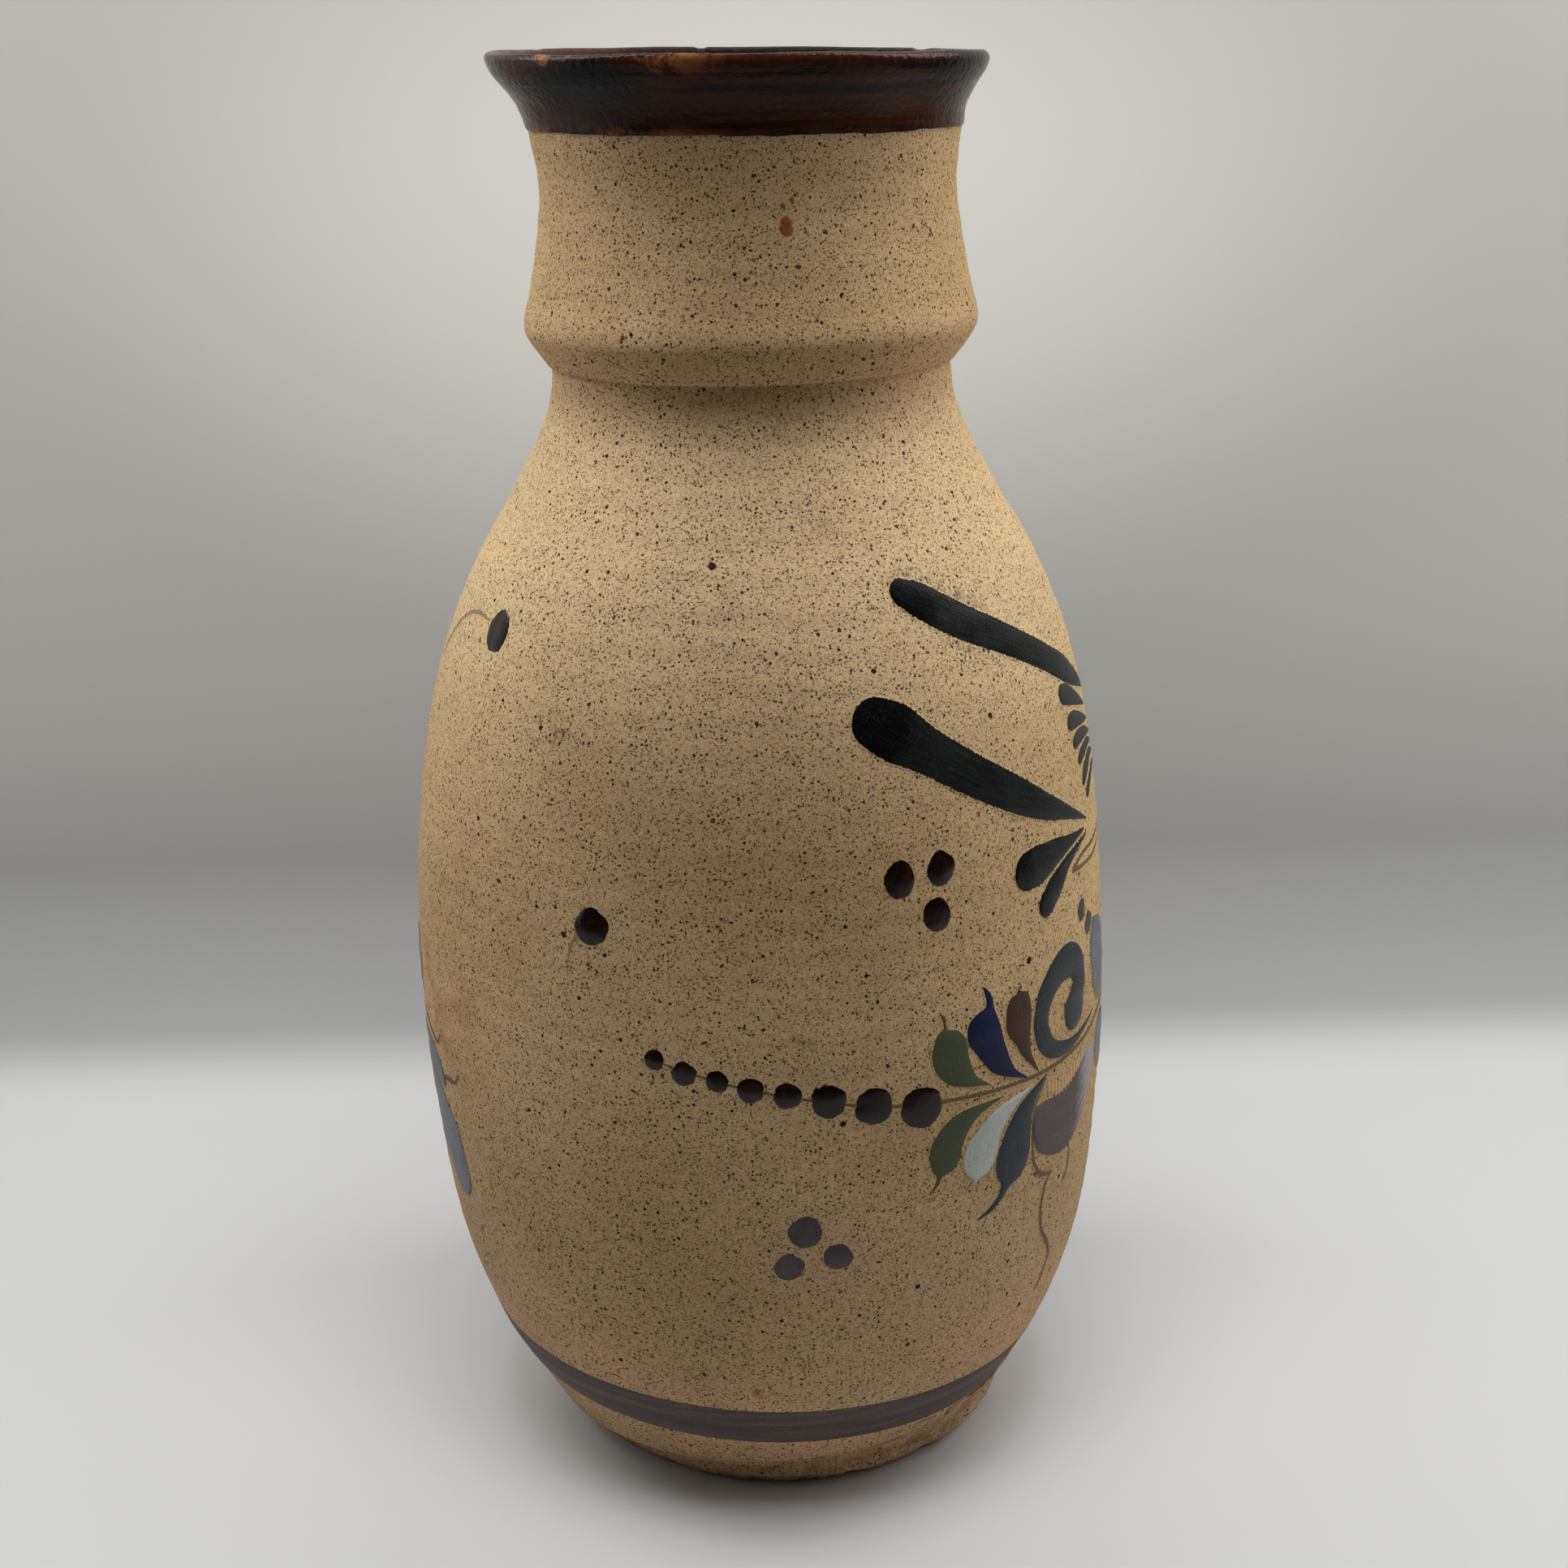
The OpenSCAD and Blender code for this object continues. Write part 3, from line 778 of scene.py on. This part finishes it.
brush = {
    "across": 12,            # faces across a stroke
    "steps": 7,              # rows from one station to the next
    "cap": 7,                # rows in the round start
    "load": 0.26 * mm,       # paint left in the middle of a stroke
    "full": 3.2 * mm,        # narrower strokes carry less paint
    "edge": 0.05 * mm,
    "sunk": 0.25 * mm,
    "margin": 0.3 * mm,      # thin skirt in which the paint's edge frays out
}

drop = {
    "segments": 44,
    "rings": 24,
    "load": 0.45 * mm,
    "sunk": 0.03 * mm,
    "wobble": 0.13,          # how far from round, slow and fine
    "nicks": 0.05,
    "round": 0.55,           # share of a ball in the dome's shape
}


def wallPoint(turn, height, lift):  # turn in degrees
    r = wallRadius(height)
    slope = (wallRadius(height + mm) - wallRadius(height - mm)) / (2 * mm)
    length = math.hypot(1, slope)
    return handThrown(atTurn(math.radians(turn), r + lift / length, height - lift * slope / length))


def flatGap(a, b):  # from a to b, both (turn, height), measured on the wall in metres
    return Vector((math.radians(b[0] - a[0]) * wallRadius((a[1] + b[1]) / 2), b[1] - a[1]))


def strokeRows(path):  # left and right edge of each row of a stroke, as (turn, height)
    middle = [(t, h * mm, max(w * mm, 0.1 * mm)) for t, h, w in smoothLine(path, brush["steps"])]
    rows = []
    for i, (turn, height, width) in enumerate(middle):
        before, after = middle[max(i - 1, 0)], middle[min(i + 1, len(middle) - 1)]
        along = flatGap(before[:2], after[:2]).normalized()
        rows.append((turn, height, width, along))
    turn, height, width, along = rows[0]
    cap = []
    for k in range(brush["cap"]):
        a = (k + 0.35) / brush["cap"] * math.pi / 2
        back = width * math.cos(a)
        cap.append((turn - math.degrees(along.x * back / wallRadius(height)), height - along.y * back,
                    width * math.sin(a), along))
    edges = []
    for turn, height, width, along in cap + rows:
        swing, rise = math.degrees(along.y * width / wallRadius(height)), along.x * width
        edges.append(((turn - swing, height + rise), (turn + swing, height - rise)))
    return edges


def petalRows(outline):  # turn and height of the left edge, then of the right edge, at each station
    return [((t0, h0 * mm), (t1, h1 * mm)) for t0, h0, t1, h1 in smoothLine(outline, brush["steps"])]


def layPaint(rows, load=1.0):  # one brushed sheet; gap is the way to its edge in mm, share the way along it
    across = brush["across"]
    deselectAll()
    bpy.ops.mesh.primitive_grid_add(x_subdivisions=across, y_subdivisions=len(rows) - 1, size=1)
    obj = bpy.context.object
    mesh = obj.data
    runs = [0]
    for (a, b), (c, d) in zip(rows, rows[1:]):
        runs.append(runs[-1] + (flatGap(a, c).length + flatGap(b, d).length) / 2 / mm)
    gap = mesh.attributes.new("gap", "FLOAT", "POINT")
    share = mesh.attributes.new("share", "FLOAT", "POINT")
    spots = []
    for i, v in enumerate(mesh.vertices):
        row = round((v.co.y + 0.5) * (len(rows) - 1))
        u = v.co.x + 0.5
        a, b = rows[row]
        width = max(flatGap(a, b).length, 1e-6)
        out = (width + 2 * brush["margin"]) / width
        s = 0.5 + (u - 0.5) * out
        turn, height = a[0] + (b[0] - a[0]) * s, a[1] + (b[1] - a[1]) * s
        edge = min(s, 1 - s) * width
        body = min(1, width / brush["full"])
        swell = 1 - abs(2 * min(max(s, 0), 1) - 1) ** 3
        v.co = wallPoint(turn, height, brush["edge"] + brush["load"] * load * body * swell)
        gap.data[i].value = edge / mm
        share.data[i].value = row / (len(rows) - 1)
        spots.append((2 * u - 1, runs[row]))
    layer = mesh.uv_layers.active.data
    for loop in mesh.loops:
        layer[loop.index].uv = spots[loop.vertex_index]
    mesh.update()
    thicken(obj, brush["sunk"])
    return obj


def layDot(turn, height, radius, load, seed, wide):  # a dome of glaze, flat underneath
    deselectAll()
    bpy.ops.mesh.primitive_uv_sphere_add(segments=drop["segments"], ring_count=drop["rings"], radius=1)
    obj = bpy.context.object
    startEditing()
    bpy.ops.mesh.bisect(plane_co=(0, 0, 0), plane_no=(0, 0, 1), use_fill=True, clear_inner=True)
    stopEditing()
    for v in obj.data.vertices:
        p = v.co
        far = p.xy.length
        bend = 1 + drop["wobble"] * noise.noise(Vector((p.x * 1.4, p.y * 1.4, seed)))
        bend += far ** 4 * drop["nicks"] * noise.noise(Vector((p.x * 5, p.y * 5, seed)))
        x, y = p.x * radius * bend * wide, p.y * radius * bend
        dome = drop["round"] * p.z + (1 - drop["round"]) * (1 - far * far)
        a = turn + math.degrees(x / wallRadius(height))
        v.co = wallPoint(a, height + y, load * dome - drop["sunk"])
    obj.data.update()
    return obj


spray = 88           # turn of the main spray's middle
sideSpray = -92      # turn of the smaller spray's middle


def offset(rng):
    return rng.uniform(-0.5, 0.5), rng.uniform(-0.5, 0.5)


def otherSide(path, middle, rng):  # the same marks across the spray, never quite the same
    shift, rise = offset(rng)
    return [(2 * middle - t + shift, h + rise, w * rng.uniform(0.96, 1.05)) for t, h, w in path]


def pieceName(node):  # leaf_stroke gives leafStroke
    first, *more = node.split("_")
    return first + "".join(word.capitalize() for word in more)


def finishMarks(name, node, material, parts):
    finishPiece(joinAll(parts, name), node, material, angle=70)
    print(name, "laid on:", len(parts), "marks")


def paint(node, material, paths, middle=None, load=1.0, name=None):
    name = name or pieceName(node)
    rng = random.Random(name)
    strokes = list(paths)
    if middle is not None:
        strokes += [otherSide(path, middle, rng) for path in paths]
    finishMarks(name, node, material, [layPaint(strokeRows(path), load) for path in strokes])


def paintPetals(node, material, outlines, middle):
    name = pieceName(node)
    rng = random.Random(name)
    parts = []
    for outline in outlines:
        parts.append(layPaint(petalRows(outline)))
        shift, rise = offset(rng)
        over = 2 * middle + shift
        flipped = [(over - t1, h1 + rise, over - t0, h0 + rise) for t0, h0, t1, h1 in outline]
        parts.append(layPaint(petalRows(flipped)))
    finishMarks(name, node, material, parts)


def dropDots(node, material, dots, middle=None, load=drop["load"], wide=1.0, name=None):
    name = name or pieceName(node)
    marks = list(dots)
    if middle is not None:
        marks += otherSide(dots, middle, random.Random(name))
    parts = [layDot(t, h * mm, r * mm, load, i * 2.3, wide) for i, (t, h, r) in enumerate(marks)]
    finishMarks(name, node, material, parts)


leafEnamel = makeEnamel("leafEnamel", (0.005, 0.0065, 0.0065), (0.016, 0.020, 0.018),
                        tail=(0.0025, 0.003, 0.003), tailShare=0.3, ragged=0.25, rough=0.34, dry=0.04,
                        streak=0.8)
fernEnamel = makeEnamel("fernEnamel", (0.024, 0.025, 0.024), (0.040, 0.041, 0.039), ragged=0.1)
stemOxide = makeEnamel("stemOxide", (0.13, 0.095, 0.050), (0.16, 0.12, 0.065), ragged=0.14, rough=0.7,
                       dry=0.3, shine=0.1)
beadGlaze = makeBeadGlaze("beadGlaze", (0.006, 0.0035, 0.0025), (0.026, 0.008, 0.0035), 0.1, 0.26)
greenEnamel = makeEnamel("greenEnamel", (0.055, 0.072, 0.034), (0.075, 0.090, 0.048),
                         rim=(0.085, 0.060, 0.026), tail=(0.14, 0.055, 0.022), tailShare=0.17)
cobaltEnamel = makeEnamel("cobaltEnamel", (0.0045, 0.008, 0.034), (0.009, 0.015, 0.054),
                          rim=(0.010, 0.012, 0.028))
maroonEnamel = makeEnamel("maroonEnamel", (0.046, 0.023, 0.016), (0.070, 0.033, 0.022),
                          rim=(0.10, 0.045, 0.020), tail=(0.13, 0.060, 0.028), tailShare=0.06)
whiteEnamel = makeEnamel("whiteEnamel", (0.46, 0.49, 0.46), (0.36, 0.39, 0.38), rim=(0.36, 0.25, 0.15),
                         tail=(0.40, 0.34, 0.27), tailShare=0.16, dry=0.25)
tealEnamel = makeEnamel("tealEnamel", (0.024, 0.034, 0.040), (0.040, 0.052, 0.056), rim=(0.022, 0.024, 0.026))
purpleSlip = makeEnamel("purpleSlip", (0.085, 0.062, 0.060), (0.12, 0.095, 0.095), rough=0.55, ragged=0.3,
                        tip=(0.34, 0.31, 0.32))
creamSlip = makeEnamel("creamSlip", (0.66, 0.42, 0.22), (0.62, 0.38, 0.20), rough=0.7, ragged=0.3)
scrollEnamel = makeEnamel("scrollEnamel", (0.022, 0.027, 0.030), (0.036, 0.042, 0.044), dry=0.15)
greyEnamel = makeEnamel("greyEnamel", (0.115, 0.13, 0.15), (0.20, 0.205, 0.215), rim=(0.035, 0.034, 0.036),
                        tip=(0.22, 0.165, 0.11), rough=0.5, rimWidth=1.0)
faintOxide = makeEnamel("faintOxide", (0.25, 0.185, 0.10), (0.30, 0.23, 0.13), ragged=0.2, rough=0.8, dry=0.7,
                        shine=0.1)
dryBrush = makeDryBrush()
rustDrop = makeBeadGlaze("rustDrop", (0.20, 0.070, 0.022), (0.32, 0.12, 0.035), 0.25)
print("enamels mixed")

paint("upper_leaf_stroke", leafEnamel, [
    [(29, 200.6, 2.7), (33, 198.4, 3.5), (40, 194, 3.6), (50, 188.7, 3.3),
     (60, 183, 3.1), (70, 177, 3), (78, 172.4, 1.6), (84, 169, 0.3)]], spray)

paint(None, dryBrush, [
    [(30, 202.6, 3.4), (35, 200.2, 4), (41, 197, 4), (48, 193.3, 2.6)],
    [(37, 190.6, 2.4), (42, 188.6, 2.6), (47, 186.6, 2)]], load=0.02, name="dryBrushMarks")

paint("lower_leaf_stroke", leafEnamel, [
    [(19.5, 178.3, 5), (23, 176, 5.6), (28, 172, 4.6), (36, 165.7, 4.2),
     (45, 159.3, 3.8), (53, 154.2, 2.9), (60, 150.5, 1.6), (69, 145.6, 0.3)]], spray, 1.3)

paint("small_leaf_strokes", leafEnamel, [
    [(46.8, 143, 4.2), (50, 143.2, 4.2), (55, 144, 2.9), (60, 144.2, 1.5), (67, 144.2, 0.3)],
    [(51.5, 134.4, 3), (54, 136.6, 3), (58, 139.8, 1.9), (63, 141.8, 0.9), (68, 142.8, 0.3)]], spray)

paint("fern_leaflets", fernEnamel, [
    [(65, 173.3, 2.2), (68, 172.4, 2.3), (73, 170, 1.5), (80, 166.5, 0.3)],
    [(66.2, 167, 1.8), (69, 166.8, 1.9), (74, 165.4, 1.3), (81, 163, 0.3)],
    [(67.3, 162.5, 1.5), (70, 162.8, 1.6), (75, 162.2, 1.2), (82, 160, 0.3)],
    [(68.8, 158.5, 1.4), (71, 159.1, 1.5), (76, 159.5, 1.1), (83, 157.5, 0.3)],
    [(69.8, 153.8, 1.5), (72, 155.2, 1.6), (77, 156.8, 1.1), (84, 155, 0.3)],
    [(71.5, 150.2, 1.2), (74, 151.8, 1.3), (79, 153.6, 0.9), (85, 152.5, 0.3)]], spray)

stubs = [
    [(61, 137.9, 0.6), (66, 139.4, 0.5), (73, 139.4, 0.5), (87, 141, 0.4)],
    [(61, 137.5, 0.6), (66, 136.9, 0.5), (73, 136.9, 0.5), (87, 139.5, 0.4)]]
paint("fern_stem", stemOxide, [
    [(88, 180, 0.3), (88, 170, 0.6), (88, 155, 0.8), (88, 141, 1)]]
    + stubs + [otherSide(path, spray, random.Random(4)) for path in stubs], load=0.6)

paint("flower_stem", stemOxide, [
    [(-16, 113.6, 0.3), (-7, 110, 0.35), (3, 106.8, 0.35), (16, 102.9, 0.4), (27, 101, 0.5), (34, 100, 0.5),
     (42, 99.1, 0.5), (50, 98.3, 0.6), (58, 98.2, 0.6), (66, 98.9, 0.6), (74, 100.5, 0.6), (88, 102, 0.6)]],
    spray, 0.6)

paintPetals("green_petals", greenEnamel, [
    [(27.3, 120, 27.6, 120), (27.8, 118.2, 28.5, 118.2), (28, 116.3, 28.8, 116),
     (26.7, 114.8, 30.6, 115.2), (25.9, 111.6, 32.1, 112.9), (26.2, 108.3, 32.5, 110),
     (27.6, 105.4, 33, 107), (30.2, 103.1, 34.2, 104), (36.6, 101.2, 36.8, 101.4)],
    [(25.2, 80.7, 25.5, 80.6), (26.2, 82.6, 26.9, 82.2), (26.5, 84.2, 27.6, 83.8),
     (25.5, 86.7, 29.6, 84.7), (25.2, 89.6, 30.9, 87.1), (26.1, 92.9, 31.4, 90), (28.3, 95.9, 32.8, 93.3),
     (32, 97.6, 35.2, 95.7), (39.4, 97.6, 39.5, 97.3)]], spray)

paintPetals("cobalt_petals", cobaltEnamel, [
    [(35.5, 122.6, 35.8, 122.6), (36, 120.8, 37.1, 121.1), (36, 118.2, 37.6, 119.2),
     (34.1, 117.2, 38, 117), (32.5, 115.2, 38.7, 114.8), (32.4, 112, 39.5, 111.3),
     (33.7, 109.3, 40.2, 108.2), (35.6, 105.9, 41.2, 104.8), (38.2, 102.7, 42.6, 101.9),
     (45.2, 98.9, 45.4, 99.1)]], spray)

paintPetals("maroon_petals", maroonEnamel, [
    [(43, 119.7, 43.3, 119.6), (42.8, 118.5, 44, 118.7), (41.4, 117.9, 45.6, 117.8),
     (40.5, 115.8, 46.3, 115.2), (40.1, 112.5, 46.3, 112), (41, 109.7, 46.1, 109.3),
     (42.4, 107.4, 45.9, 107), (43.7, 104.7, 46.3, 104), (48, 98.9, 48.2, 99.1)]], spray)

paintPetals("white_petals", whiteEnamel, [
    [(33.3, 76.8, 33.7, 76.8), (33.5, 79.2, 33.9, 79.2), (33.3, 80.9, 34.8, 80.6), (32, 82.8, 37, 82),
     (31.4, 85.8, 38.3, 85), (32.1, 89.2, 38.9, 88.3), (34.3, 92.1, 40.4, 91.3), (38.2, 95.3, 43, 94.3),
     (46.8, 97, 46.9, 96.7)]], spray)

paintPetals("teal_petals", tealEnamel, [
    [(34.6, 71.1, 34.9, 70.7), (37.1, 72.6, 37.7, 71.4), (38.9, 75, 39.9, 73.4), (39.4, 77.2, 41.4, 75.6),
     (38.5, 79.3, 44.2, 77.1), (38.1, 82.1, 45.7, 79.8), (38.9, 85.9, 46.3, 83.3),
     (40.7, 90.2, 46.3, 87.5), (43.8, 94.2, 47.2, 92.2), (50.3, 97.6, 50.6, 97.3)]], spray)

paintPetals("purple_petals", purpleSlip, [
    [(46.9, 87.5, 46.9, 85.5), (47.7, 90.9, 48, 81), (50.6, 91.2, 50.6, 78.3), (54.5, 90.9, 53.9, 76.6),
     (58.3, 91.4, 57.3, 76), (61.6, 92.8, 61, 76.8), (64.8, 94.8, 64.9, 80), (67.3, 95.8, 68.3, 84.2),
     (69.4, 93, 70, 89)]], spray)

comb = {"hairs": 13, "first": 51.2, "gap": 1.1, "sag": 2.0, "turned": 9, "climb": 0.55}
fringe = []
for i in range(comb["hairs"]):
    t = comb["first"] + comb["gap"] * i
    dip = comb["sag"] * math.sin(math.radians(180 * i / comb["turned"]))
    if i >= comb["turned"]:    # the last hairs climb the petal's far side
        dip = -comb["climb"] * (i - comb["turned"])
    fringe.append([(t - 0.15, 95.6 - dip, 0.15), (t, 93.8 - dip, 0.42), (t + 0.1, 91.2 - dip, 0.15)])
paint("petal_fringe", creamSlip, fringe, spray, 1.6)

paint("scroll_strokes", scrollEnamel, [
    [(59.8, 107.9, 5.1), (60.9, 110.3, 4.3), (61.8, 113.6, 3.6), (60.6, 117.4, 3.7),
     (57.2, 119.3, 3.9), (53, 117.8, 3.5), (50, 114.3, 3), (48.9, 109.6, 2.8),
     (49.8, 105, 2.6), (52.5, 101.9, 2.1), (57, 100.3, 1.6), (62, 100.6, 0.9), (69.4, 102.3, 0.3)]], spray)

paintPetals("heart_petals", greyEnamel, [
    [(69.8, 123, 70.6, 123), (67.9, 118.5, 76, 120.5), (68.2, 112.5, 79, 115), (69.5, 107.2, 79.6, 109.5),
     (71.6, 103.6, 78.3, 105), (75, 101.6, 75.4, 101.8)],
    [(75.2, 98.9, 75.8, 98.9), (72.6, 96, 82, 96.5), (71.9, 92, 84.8, 91.5), (73, 88, 83, 86.7),
     (76, 84.4, 77, 84.2)]], spray)

paint("tendrils", stemOxide, [
    [(50.2, 96.3, 0.3), (47.3, 91.3, 0.5), (46.9, 85.5, 0.5), (47.3, 79.5, 0.5),
     (49, 75.3, 0.6), (51.2, 73.5, 0.6), (53.7, 72.8, 0.4)],
    [(53, 72.5, 0.4), (51.5, 70.9, 0.6), (50.9, 67.2, 0.6), (50.9, 63.2, 0.6), (52, 59.2, 0.6),
     (54.5, 55, 0.6), (56.2, 50.8, 0.6), (55.8, 46.6, 0.5), (54.9, 42.6, 0.4)],
    [(59, 76.6, 0.3), (59.7, 73.4, 0.4), (59.6, 70.6, 0.5), (58.3, 69, 0.5), (57.9, 67.8, 0.3)]], spray, 0.6)

paint("side_petals", greyEnamel, [
    [(-65, 71, 6.4), (-67.8, 76.5, 8.8), (-72, 82.5, 7), (-78, 89, 4), (-86, 95, 0.5)],
    [(-67, 91, 1.8), (-71, 93.4, 3.6), (-77, 95.6, 2.6), (-86, 97.5, 0.5)],
    [(-83, 116, 3.4), (-83, 110, 5), (-86, 104, 3), (-90, 99, 0.5)]], sideSpray)

paint("side_scrolls", stemOxide, [
    [(-66.8, 100.9, 0.3), (-68.8, 98.9, 0.6), (-73, 99.8, 0.9), (-79, 101.8, 0.9), (-89, 101.6, 0.5)],
    [(-58.9, 96, 0.3), (-61, 93.4, 0.5), (-64, 92.6, 0.7), (-66, 92, 0.7)]], sideSpray, 0.6)

paint("dot_tendrils", faintOxide, [
    [(-60, 192.3, 0.3), (-66, 192.6, 0.5), (-72, 190.6, 0.5), (-77.5, 186, 0.5), (-82, 180, 0.3)],
    [(-29, 137.4, 0.5), (-30.2, 134, 0.3), (-30.6, 129, 0.15)],
    [(3.6, 119, 0.1), (6, 118.2, 0.2), (8, 117.3, 0.15)]], load=0.4)

dropDots("bead_string", beadGlaze, [
    (-16.5, 113.8, 2.1), (-12, 111.4, 2.5), (-7.2, 110, 2.3), (-2.2, 108.3, 2.7),
    (3.2, 106.8, 2.8), (9.3, 105.2, 3.6), (16.3, 102.9, 4), (24, 100.6, 4.6)], spray)
dropDots("upper_dot_trio", beadGlaze,
         [(21.6, 148.2, 3.65), (28.8, 149, 3.45), (27.5, 139.9, 3.5)], spray, wide=0.9)
dropDots("lower_dot_trio", dotSlip,
         [(5.3, 76.3, 3.6), (2.6, 68.4, 3.1), (10.1, 69.9, 3.1)], spray, 0.22 * mm)
dropDots("side_dots", beadGlaze, [(-55.5, 191, 3.9), (-26.3, 139.6, 3.7)])
dropDots("grey_dots", dotSlip,
         [(64, 127.5, 2.4), (67.2, 123.2, 2.6)], spray, 0.22 * mm)
dropDots(None, rustDrop,
         [(9.6, 268.6, 1.4), (9.6, 269.8, 1.1), (8.8, 272.8, 0.5), (11.2, 273.8, 0.45)], name="rustDrops")


def buildStage():
    s = {
        "paper": (0.60, 0.605, 0.61),
        "creamPaper": (0.61, 0.605, 0.575),
        "mottle": (0.57, 0.575, 0.58),
        "width": 1.8,
        "wallDistance": 0.20,
        "bend": 0.06,
        "bendSteps": 24,
        "wallHeight": 0.85,
        "frontEdge": -0.25,     # painted shade: the paper is darker from here on, in front of the pot
    }
    deselectAll()
    half = s["width"] / 2
    bpy.ops.mesh.primitive_plane_add(size=s["width"], location=(0, s["wallDistance"] - s["bend"] - half, 0))
    floor = bpy.context.object
    floor.name = "floor"
    bpy.ops.object.mode_set(mode="EDIT")
    bpy.ops.mesh.select_all(action="DESELECT")
    bpy.ops.mesh.select_mode(type="EDGE")
    stopEditing()
    for edge in floor.data.edges:
        ends = [floor.data.vertices[i].co.y for i in edge.vertices]
        edge.select = min(ends) > half * 0.9
    bpy.ops.object.mode_set(mode="EDIT")
    y0, z0 = 0.0, 0.0
    for i in range(1, s["bendSteps"] + 1):
        a = i / s["bendSteps"] * math.pi / 2
        y1, z1 = s["bend"] * math.sin(a), s["bend"] * (1 - math.cos(a))
        bpy.ops.mesh.extrude_region_move(TRANSFORM_OT_translate={"value": (0, y1 - y0, z1 - z0)})
        y0, z0 = y1, z1
    bpy.ops.mesh.extrude_region_move(TRANSFORM_OT_translate={"value": (0, 0, s["wallHeight"])})
    bpy.ops.mesh.select_all(action="SELECT")
    bpy.ops.mesh.normals_make_consistent(inside=False)
    stopEditing()
    bpy.ops.object.shade_smooth()
    bpy.ops.object.transform_apply(location=True, rotation=False, scale=False)
    material, shader = startMaterial("paper")
    place = ownPlace()
    colour = mixColour(cloud(place, 3.0), s["paper"], s["mottle"])
    nearness, height = put("ShaderNodeSeparateXYZ", {0: place}).outputs[1:3]
    # painted shade and light on the paper: darker up the bend and wall, darker behind the pot and lighter in
    # front of it, lighter higher up the wall
    shade = ramp(height, 0.0, 0.014, 0.56, 1.0)
    shade = times(shade, ramp(nearness, 0.12, -0.06, 1.12, 0.92))
    shade = plus(shade, ramp(height, 0.02, 0.15, 0.17))
    # painted glow of light on the backdrop behind the pot
    flat = moveVector("MULTIPLY", place, (0.75, 0, 1.3))[0]
    far = moveVector("DISTANCE", flat, (0, 0, 0.322))["Value"]   # from the middle of the painted glow of light on the backdrop
    shade = plus(shade, ramp(far, 0.18, 0.03, 0.42))
    # painted shade far in front of the pot
    edge = s["frontEdge"]
    shade = times(shade, ramp(nearness, edge - 0.1, edge + 0.05, 1.0, 0.4))
    colour = mixColour(ramp(height, 0.02, 0.1), colour, s["creamPaper"])
    colour = put("ShaderNodeVectorMath", {0: colour, "Scale": shade}, operation="SCALE").outputs[0]
    setFinish(shader, colour, 0.75)
    back = put("ShaderNodeNewGeometry").outputs["Backfacing"]   # seen through from behind
    clear = put("ShaderNodeBsdfTransparent")
    both = put("ShaderNodeMixShader", {0: back, 1: shader.outputs[0], 2: clear.outputs[0]})
    link(both.outputs[0], material.node_tree.nodes["Material Output"].inputs[0])
    if floor.data.polygons[0].normal.z < 0 or floor.data.polygons[-1].normal.y > 0:
        floor.data.flip_normals()
    floor.data.materials.append(material)


def hangLight(name, place, aim, size, power, glossy):
    data = bpy.data.lights.new(name, "AREA")
    data.shape = "RECTANGLE"
    data.size, data.size_y = size
    data.energy = power
    data.color = (1.0, 0.995, 0.985)
    lamp = bpy.data.objects.new(name, data)
    bpy.context.scene.collection.objects.link(lamp)
    lamp.location = place
    lamp.rotation_euler = (Vector(aim) - Vector(place)).to_track_quat("-Z", "Y").to_euler()
    lamp.visible_glossy = glossy


def lightStage():
    # name, place, aim, size, power, and whether it shows as a reflection
    lamps = [
        ("topLeft", (-0.30, 0.06, 0.55), (0, 0, 0.2), (0.18, 0.45), 1.5, True),
        ("topRight", (0.30, 0.06, 0.55), (0, 0, 0.2), (0.18, 0.45), 1.34, True),
        ("left", (-0.45, 0.02, 0.24), (0, 0.02, 0.2), (0.4, 0.4), 0.34, True),
        ("right", (0.45, 0.02, 0.24), (0, 0.02, 0.2), (0.4, 0.4), 0.7, False),
        ("ceiling", (0, -0.25, 0.95), (0, 0, 0.15), (0.5, 0.3), 4.1, False),
    ]
    for lamp in lamps:
        hangLight(*lamp)
    world = bpy.data.worlds.new("room")
    bpy.context.scene.world = world
    world.use_nodes = True
    wiring["tree"] = world.node_tree
    background = world.node_tree.nodes["Background"]
    background.inputs[0].default_value = (0.95, 0.96, 1.0, 1)
    seen = put("ShaderNodeLightPath").outputs["Is Camera Ray"]
    strength = ramp(seen, 0.0, 1.0, 0.45, 0.02)   # hardly lights the pot
    link(strength, background.inputs[1])
    bpy.context.scene.view_settings.view_transform = "Standard"


def placeCamera():
    s = {"distance": 0.4902, "height": 0.3068, "pitch": 18.16, "yaw": 0.61, "roll": -1.215, "lens": 53.95}
    data = bpy.data.cameras.new("camera")
    data.lens = s["lens"]
    data.sensor_width = 36
    data.clip_start = 0.01
    camera = bpy.data.objects.new("camera", data)
    bpy.context.scene.collection.objects.link(camera)
    turn = Matrix.Rotation(math.radians(-s["yaw"]), 4, "Z")
    turn = turn @ Matrix.Rotation(math.radians(90 - s["pitch"]), 4, "X")
    turn = turn @ Matrix.Rotation(math.radians(s["roll"]), 4, "Z")
    camera.rotation_euler = turn.to_euler()
    camera.location = (0, -s["distance"], s["height"])
    bpy.context.scene.camera = camera


buildStage()
lightStage()
placeCamera()
print("stage, lights and camera set")
